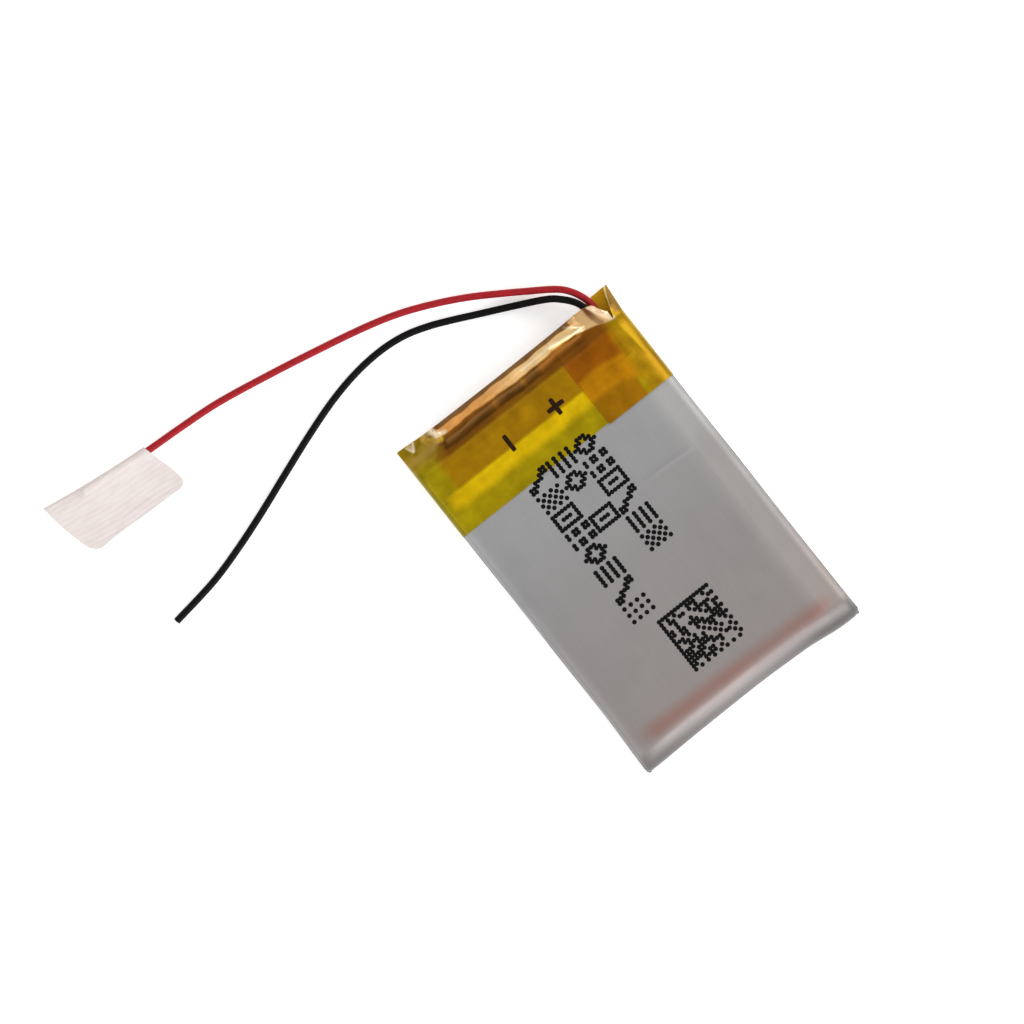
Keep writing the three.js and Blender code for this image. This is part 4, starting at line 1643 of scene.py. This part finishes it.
    def build(self, tints: TapeTints, finish: bpy.types.Material) -> bpy.types.Object:
        """Makes the wound strip with its ridge, dog-ear, mouth and curl.

        Args:
            tints: the depths of amber.
            finish: the film's material.

        Returns:
            The collar.
        """
        columns = self.columns()
        low_rows = np.linspace(0, 1, 46)
        high_rows = 1 - (1 - np.linspace(0, 1, 48)[1:]) ** 1.6
        points: list[np.ndarray] = []
        shades: list[np.ndarray] = []
        for x, share, outer in columns:
            on_back = share == 0.0
            low = self.low_inner + (self.low_outer - self.low_inner) * float(outer)
            shoulder = outer and x > self.notch
            path = self.back_rim if on_back or shoulder else self.front_rim
            rim = float(through(path, x if outer or on_back else min(x, self.inner_end)))
            y = np.concatenate(
                [
                    low + (self.crease_level - low) * low_rows,
                    self.crease_level + (rim - self.crease_level) * high_rows,
                ]
            )
            w = np.concatenate([low_rows * 0, high_rows])
            xs = np.full_like(y, x)
            height = self.rise(xs, y, np.full_like(y, rim))
            z = self.back_level + (height - self.back_level) * share
            if outer and not on_back:
                z = z + self.overlap_lift * ease(9.9, 8.9, x) * share
            if shoulder:
                # The side wall leans in and its corner flares out at the tip.
                crest = 1 - ease(self.notch, self.half_width, x)
                xs = xs + w * (self.lean + self.flare * crest) * ease(0.0, 0.5, share)
                z = z * (1 - self.slump * w**1.5)
            elif outer and x > 7.4:
                # The free edge of the front ply curls up and back over the leads.
                curl = ease(0.5, 1.0, w) ** 1.5 * ease(7.6, 8.2, x) * ease(9.02, 8.7, x)
                z = z + self.curl_lift * curl
                y = y - self.curl_back * curl
                xs = xs - self.curl_back * curl
            points.append(np.stack([xs, y, z], -1))
            if share > self.shoulder_share and not (shoulder and x > 9.8):
                shade = tints.front(xs, y)
                if shoulder:
                    outside = tints.side(xs, y, z)
                    shade = shade + (outside - shade) * ease(13.4, 13.7, y)[:, None]
            else:
                shade = tints.side(xs, y, z)
            shades.append(shade)
        rows = len(points[0])
        faces = []
        for c in range(len(columns) - 1):
            split = columns[c][0] > self.notch >= columns[c + 1][0] and columns[c][2]
            last = len(low_rows) - 1 if split else rows - 1
            for r in range(last):
                a, b = c * rows + r, (c + 1) * rows + r
                faces.append((a, b, b + 1, a + 1))
        flat = np.concatenate(points)
        collar = make_piece("amber_tape_collar", flat, faces)
        store_tints(collar, flat, np.concatenate(shades))
        collar = thicken(collar, self.ply)
        paint(smooth(collar, 60), finish)
        return settle(collar, "amber_tape", "tape_collar")


@dataclass
class BoardTape:
    """The inner amber tape over the face's end, the board's upper edge and its outside."""

    left: float = -7.95
    right: float = 8.35
    board_left: float = -6.85
    board_right: float = 6.1
    clearance: float = 0.07
    ply: float = 0.05

    run: ClassVar[list[Flat]] = [
        (10.6, 3.232), (12.2, 3.236), (12.7, 3.15), (13.2, 2.88), (13.55, 2.77), (13.85, 2.85),
        (14.15, 3.0), (14.5, 3.06), (15.0, 3.07), (15.24, 2.96), (15.295, 2.75), (15.30, 2.4),
        (15.31, 0.5),
    ]

    def build(self, tints: TapeTints, finish: bpy.types.Material) -> bpy.types.Object:
        """Makes the tape as one bent sheet.

        Args:
            tints: the depths of amber.
            finish: the film's material.

        Returns:
            The board tape.
        """
        path = np.array(self.run)
        dist = np.concatenate([[0], np.cumsum(np.hypot(*np.diff(path, axis=0).T))])
        rows = np.linspace(0, dist[-1], 90)
        y_run = np.interp(rows, dist, path[:, 0])
        z_run = np.interp(rows, dist, path[:, 1])
        across = np.linspace(0, 1, 110)
        collar = TapeCollar()
        points = []
        over = ease(12.7, 13.5, y_run)
        left = self.left + (self.board_left - self.left) * over
        right = self.right + (self.board_right - self.right) * over
        for u in across:
            x = left + (right - left) * u
            rim = through(collar.front_rim, x)
            cover = collar.rise(x, np.minimum(y_run, 15.0), rim) - self.clearance
            points.append(np.stack([x, y_run, np.minimum(z_run, cover)], -1))
        flat = np.concatenate(points)
        tape = make_piece("amber_board_tape", flat, grid_faces(len(across), len(rows)))
        shade = np.empty_like(flat)
        shade[:] = linear(tints.two_plies)[:3]
        store_tints(tape, flat, shade)
        tape = thicken(tape, self.ply)
        paint(smooth(tape, 60), finish)
        return settle(tape, "amber_tape", "board_tape")


# ---------------------------------------------------------------------------
# Ink marks
# ---------------------------------------------------------------------------


class DotSign(Enum):
    """Plain five-by-seven dot signs that spell nothing."""

    DIAMOND = "..#.. .###. ##.## #...# ##.## .###. ..#.."
    CHECKER = "#.#.# .#.#. #.#.# .#.#. #.#.# .#.#. #.#.#"
    SLOPE = "##... ##... .##.. ..#.. ..##. ...## ...##"
    FRAME = "##### #...# #.#.# #.#.# #.#.# #...# #####"
    DOTS = "#.#.# ..... #.#.# ..... #.#.# ..... #.#.#"
    RUNGS = "##.## ##.## ..... ##.## ##.## ..... ##.##"
    BARS = "##### ..... ##### ..... ##### ..... #####"


@dataclass
class InkMarks:
    """Ink-jet dots on the face and the two polarity marks on the tape."""

    pitch: float = 0.30
    dot: float = 0.18
    thickness: float = 0.014
    advance: float = 1.74
    face: float = 3.19
    tape: float = 3.285
    tape_edge: float = 7.42
    patch_corner: Flat = (-2.41, -6.59)
    patch_modules: int = 16
    patch_fill: float = 0.56
    patch_seed: int = 7
    stamp_level: float = 3.335
    bar_power: float = 0.28
    dot_sides: int = 10
    bar_sides: int = 24
    stroke: Flat = (0.175, 0.72)

    def shape(self, centre: Flat, half: Flat, rings: Rings, power: float) -> list[Point]:
        """Places the rings of one printed shape, from a round dot to a square bar.

        Args:
            centre: its middle.
            half: its half size along x and along y.
            rings: height and share of the full size of each ring, lowest first.
            power: one is round, and less is squarer.

        Returns:
            Its points, ring by ring.
        """
        points = []
        sides = self.dot_sides if power == 1.0 else self.bar_sides
        for level, share in rings:
            for step in range(sides):
                turn = 2 * math.pi * (step + 0.5) / sides
                cx, cy = math.cos(turn), math.sin(turn)
                x = centre[0] + half[0] * share * math.copysign(abs(cx) ** power, cx)
                y = centre[1] + half[1] * share * math.copysign(abs(cy) ** power, cy)
                points.append((x, y, level))
        return points

    def print_mark(
        self, name: str, slot: str, shapes: list[list[Point]], finish: bpy.types.Material
    ) -> bpy.types.Object:
        """Makes one piece of printed shapes.

        Args:
            name: the piece's name.
            slot: the material slot of the surface under it.
            shapes: the points of each shape, in three rings.
            finish: the ink.

        Returns:
            The mark.
        """
        faces: list[Face] = []
        for number, points in enumerate(shapes):
            faces += stack_faces(3, len(points) // 3, number * len(points))
        mesh = bpy.data.meshes.new(name)
        mesh.from_pydata((np.concatenate(shapes) * MM).tolist(), [], faces)
        piece = place_object(name, mesh)
        paint(smooth(piece, 40), finish)
        return settle(piece, slot)

    def dots(self, name: str, places: list[Flat], finish: bpy.types.Material) -> bpy.types.Object:
        """Makes low domed dots as one piece.

        Args:
            name: the piece's name.
            places: middles of the dots.
            finish: the ink.

        Returns:
            The dots.
        """
        shapes = []
        for x, y in places:
            level = self.tape if y > self.tape_edge else self.face
            rings = [(level - 0.02, 1.0), (level + self.thickness * 0.6, 1.0)]
            rings.append((level + self.thickness, 0.7))
            shapes.append(self.shape((x, y), (self.dot, self.dot), rings, 1.0))
        return self.print_mark(name, "laminate_film", shapes, finish)

    def row(
        self,
        name: str,
        x_top: float,
        y_start: float,
        signs: list[DotSign | None],
        finish: bpy.types.Material,
    ) -> bpy.types.Object:
        """Prints one row of signs that read along the cell.

        Args:
            name: the piece's name.
            x_top: x of the signs' upper dots.
            y_start: y of the first sign's first dot.
            signs: the signs, with None for a space.
            finish: the ink.

        Returns:
            The row.
        """
        places = []
        for index, sign in enumerate(signs):
            if sign is None:
                continue
            for line, text in enumerate(sign.value.split()):
                for column, mark in enumerate(text):
                    if mark == "#":
                        y = y_start - index * self.advance - column * self.pitch
                        places.append((x_top - line * self.pitch, y))
        return self.dots(name, places, finish)

    def patch(self, finish: bpy.types.Material) -> bpy.types.Object:
        """Prints the square dot patch, whose pattern holds no data.

        Args:
            finish: the ink.

        Returns:
            The patch.
        """
        draw = np.random.default_rng(self.patch_seed)
        last = self.patch_modules - 1
        places = []
        for i in range(self.patch_modules):
            for j in range(self.patch_modules):
                border = i == 0 or j == 0
                dashed = (i == last and j % 2 == 0) or (j == last and i % 2 == 0)
                inside = 0 < i < last and 0 < j < last and draw.random() < self.patch_fill
                if border or dashed or inside:
                    x = self.patch_corner[0] + i * self.pitch
                    places.append((x, self.patch_corner[1] - j * self.pitch))
        return self.dots("dot_patch", places, finish)

    def polarity(
        self, name: str, bars: list[tuple[Flat, Flat]], finish: bpy.types.Material
    ) -> bpy.types.Object:
        """Prints a polarity mark of bars with worn, rounded ends on the tape.

        Args:
            name: the piece's name.
            bars: middle and half sizes of each bar.
            finish: the ink.

        Returns:
            The mark.
        """
        shapes = []
        for number, (centre, half) in enumerate(bars):
            level = self.stamp_level + 0.004 * number
            rings = [(level - 0.05, 1.0), (level + 0.012, 1.0), (level + 0.02, 0.93)]
            shapes.append(self.shape(centre, half, rings, self.bar_power))
        return self.print_mark(name, "amber_tape", shapes, finish)

    def build(self) -> list[bpy.types.Object]:
        """Prints every mark.

        Returns:
            The marks.
        """
        # Pigment ink dries matt and slightly grainy.
        jet = GrainedFinish(
            "pigment_ink_jetted", "#020202", "#070707", 0.08, (0.5, 0.7), ior=1.2, depth=0.003
        ).make()
        stamp = GrainedFinish(
            "marking_ink_stamped", "#1C0D02", "#281404", 0.1, (0.45, 0.6), ior=1.2, depth=0.003
        ).make()
        s = DotSign
        first = [s.DIAMOND, s.RUNGS, s.FRAME, s.SLOPE, s.BARS, s.CHECKER]
        second = [s.BARS, s.DIAMOND, None, s.FRAME]
        third = [s.SLOPE, s.CHECKER, s.FRAME, s.RUNGS, s.DIAMOND, s.BARS, s.SLOPE, s.DOTS]
        plus = (1.53, 10.93)
        return [
            self.row("dot_row_right", 2.38, 7.95, first, jet),
            self.row("dot_row_middle", 0.18, 7.95, second, jet),
            self.row("dot_row_left", -2.05, 7.95, third, jet),
            self.patch(jet),
            self.polarity("minus_mark", [((-2.9, 10.92), self.stroke)], stamp),
            self.polarity("plus_mark", [(plus, self.stroke), (plus, (0.75, 0.175))], stamp),
        ]


# ---------------------------------------------------------------------------
# Parts inside
# ---------------------------------------------------------------------------


@dataclass
class InnerParts:
    """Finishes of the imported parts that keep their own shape."""

    nodes: dict[str, bpy.types.Object]

    def finishes(self) -> list[tuple[str, GrainedFinish]]:
        """Lists the finish of each inner part's real material.

        Returns:
            Names of the parts, with spaces between, and their finish.
        """
        metal = {"metallic": 1.0}
        # Tabs are slit from rolled strip, with fine lines along them.
        strip = {"metallic": 1.0, "stretch": (1, 0.1, 0.1)}
        # Coated electrodes are matt and grainy, the films between them milky, and the board's
        # solder mask lies over glass weave with 0.25 mm between its threads.
        rows = [
            ("cathode_sheet",
             "lithium_oxide_coating_rolled", "#1D1D20", "#2B2B30", 0.12, (0.6, 0.8), {}),
            ("anode_sheet", "graphite_coating_rolled", "#222224", "#343438", 0.1, (0.5, 0.75), {}),
            ("inner_separator outer_separator",
             "polyethylene_separator_stretched", "#DCDDDB", "#F0F0EE", 0.3, (0.5, 0.7), {}),
            ("winding_end_tape", "winding_tape_film", "#3C6E94", "#4F86AE", 0.5, (0.25, 0.4), {}),
            ("positive_tab",
             "aluminium_strip_rolled", "#B9BBBD", "#D2D4D6", 0.05, (0.28, 0.42), strip),
            ("negative_tab positive_weld_plate negative_weld_plate",
             "nickel_strip_rolled", "#A9A69C", "#C4C0B4", 0.05, (0.25, 0.4), strip),
            ("positive_tab_sealant negative_tab_sealant",
             "modified_polypropylene_pressed", "#CFCBB8", "#E2DECB", 0.4, (0.35, 0.5), {}),
            ("protection_board",
             "glass_epoxy_solder_masked", "#0E4A2C", "#176239", 0.25, (0.3, 0.45), {}),
            ("protection_controller twin_switch",
             "chip_epoxy_moulded", "#141414", "#212121", 0.08, (0.55, 0.7), {}),
            ("filter_resistor sense_resistor",
             "resistor_glass_coated", "#101314", "#1D2122", 0.2, (0.25, 0.35), {}),
            ("filter_capacitor",
             "capacitor_ceramic_fired", "#8D7350", "#A68A64", 0.15, (0.5, 0.65), {}),
            ("seal_insulator", "fish_paper_calendered", "#C9C4B6", "#DED9CB", 0.25, (0.7, 0.9), {}),
            ("positive_solder_joint negative_solder_joint",
             "solder_reflowed", "#B4B6B8", "#D0D2D3", 0.2, (0.2, 0.35), metal),
        ]
        made = [(parts, GrainedFinish(*looks, **more)) for parts, *looks, more in rows]
        return [*made, ("positive_lead_core negative_lead_core", TINNED_COPPER)]

    def dress(self) -> None:
        """Paints every inner part with its finish."""
        for parts, finish in self.finishes():
            material = finish.make()
            for name in parts.split():
                paint(self.nodes[name], material)
                LOG.info("%s painted as %s", name, finish.name)


# Tinned strand is drawn bright and dulls a little as it ages.
TINNED_COPPER = GrainedFinish(
    "copper_strand_tinned", "#B8B2A8", "#D6D0C6", 0.05, (0.25, 0.4), metallic=1.0
)

RED_ROUTE: list[Point] = [
    (5.5, 14.175, 1.05), (6.3, 14.1, 1.07), (7.2, 13.95, 1.15), (7.95, 14.1, 1.27),
    (8.33, 14.6, 1.4), (8.42, 15.2, 1.49), (8.35, 15.7, 1.5), (8.18, 16.25, 1.46),
    (7.87, 16.87, 1.35), (7.4, 17.5, 1.2), (6.75, 18.05, 1.03), (6, 18.57, 0.85),
    (5.3, 19.03, 0.7), (3.91, 19.95, 0.48), (1.6, 21.4, 0.3), (-0.74, 22.62, 0.28),
    (-3.35, 23.72, 0.28), (-6.19, 24.55, 0.28), (-10.13, 25.42, 0.28), (-14.07, 26.2, 0.28),
    (-18.13, 26.89, 0.3), (-21.3, 27.16, 0.36), (-24.5, 27.34, 0.42), (-27, 27.585, 0.42),
    (-30.2, 27.9, 0.42),
]

BLACK_ROUTE: list[Point] = [
    (5.5, 14.175, 2.1), (6.1, 14.08, 2.1), (6.8, 14, 2.08), (7.4, 14.2, 2.03),
    (7.74, 14.7, 1.95), (7.83, 15.3, 1.86), (7.7, 15.85, 1.78), (7.4, 16.38, 1.62),
    (6.96, 16.89, 1.4), (6.4, 17.42, 1.1), (5.67, 17.87, 0.9), (4.49, 18.47, 0.64),
    (2.82, 19.28, 0.4), (1.15, 20.07, 0.29), (-0.52, 20.87, 0.28), (-2.21, 21.6, 0.28),
    (-4.07, 22.17, 0.28), (-6.2, 22.39, 0.28), (-8.64, 22.23, 0.28), (-11.35, 21.67, 0.28),
    (-14.42, 20.7, 0.28), (-17.62, 19.54, 0.28), (-20.89, 18.33, 0.28), (-24, 17.3, 0.28),
    (-26.95, 16.52, 0.28), (-30.85, 15.92, 0.28),
]


def main() -> None:
    """Builds the scene in order."""
    logging.basicConfig(level=logging.INFO, format="%(name)s: %(message)s")
    studio = Studio()
    studio.add_camera()

    # Soft silicone sleeve, extruded: matt with a faint bloom along the lead.
    red = Lead(
        "red_lead",
        "positive_lead",
        "red_sleeve",
        GrainedFinish("silicone_sleeve_red", "#8E1018", "#A8161F", 0.5, (0.5, 0.65), ior=1.3),
        RED_ROUTE,
        mouth=(8.42, 15.2, 1.49),
    )
    black = Lead(
        "black_lead",
        "negative_lead",
        "black_sleeve",
        GrainedFinish("silicone_sleeve_black", "#020201", "#060505", 0.5, (0.5, 0.65), ior=1.22),
        BLACK_ROUTE,
        mouth=(7.83, 15.3, 1.86),
    )
    red_lead = red.build()
    black_lead = black.build()
    line = black.line()
    strands = CutEnd(line[-1], line[-2]).build(TINNED_COPPER)
    wire = [(x, y) for x, y, _ in RED_ROUTE[-3:]]
    flag = PaperFlag().build(CrepePaperFinish(), wire)

    laminate = LaminateFinish().make()
    pouch = Pouch()
    pouch.build_cup(laminate)
    pouch.build_cover(laminate)

    amber = AmberFilmFinish().make()
    tints = TapeTints()
    BoardTape().build(tints, amber)
    TapeCollar().build(tints, amber)
    InkMarks().build()
    InnerParts(frame["nodes"]).dress()

    studio.add_floor()
    studio.add_lights()


if __name__ == "__main__":
    main()
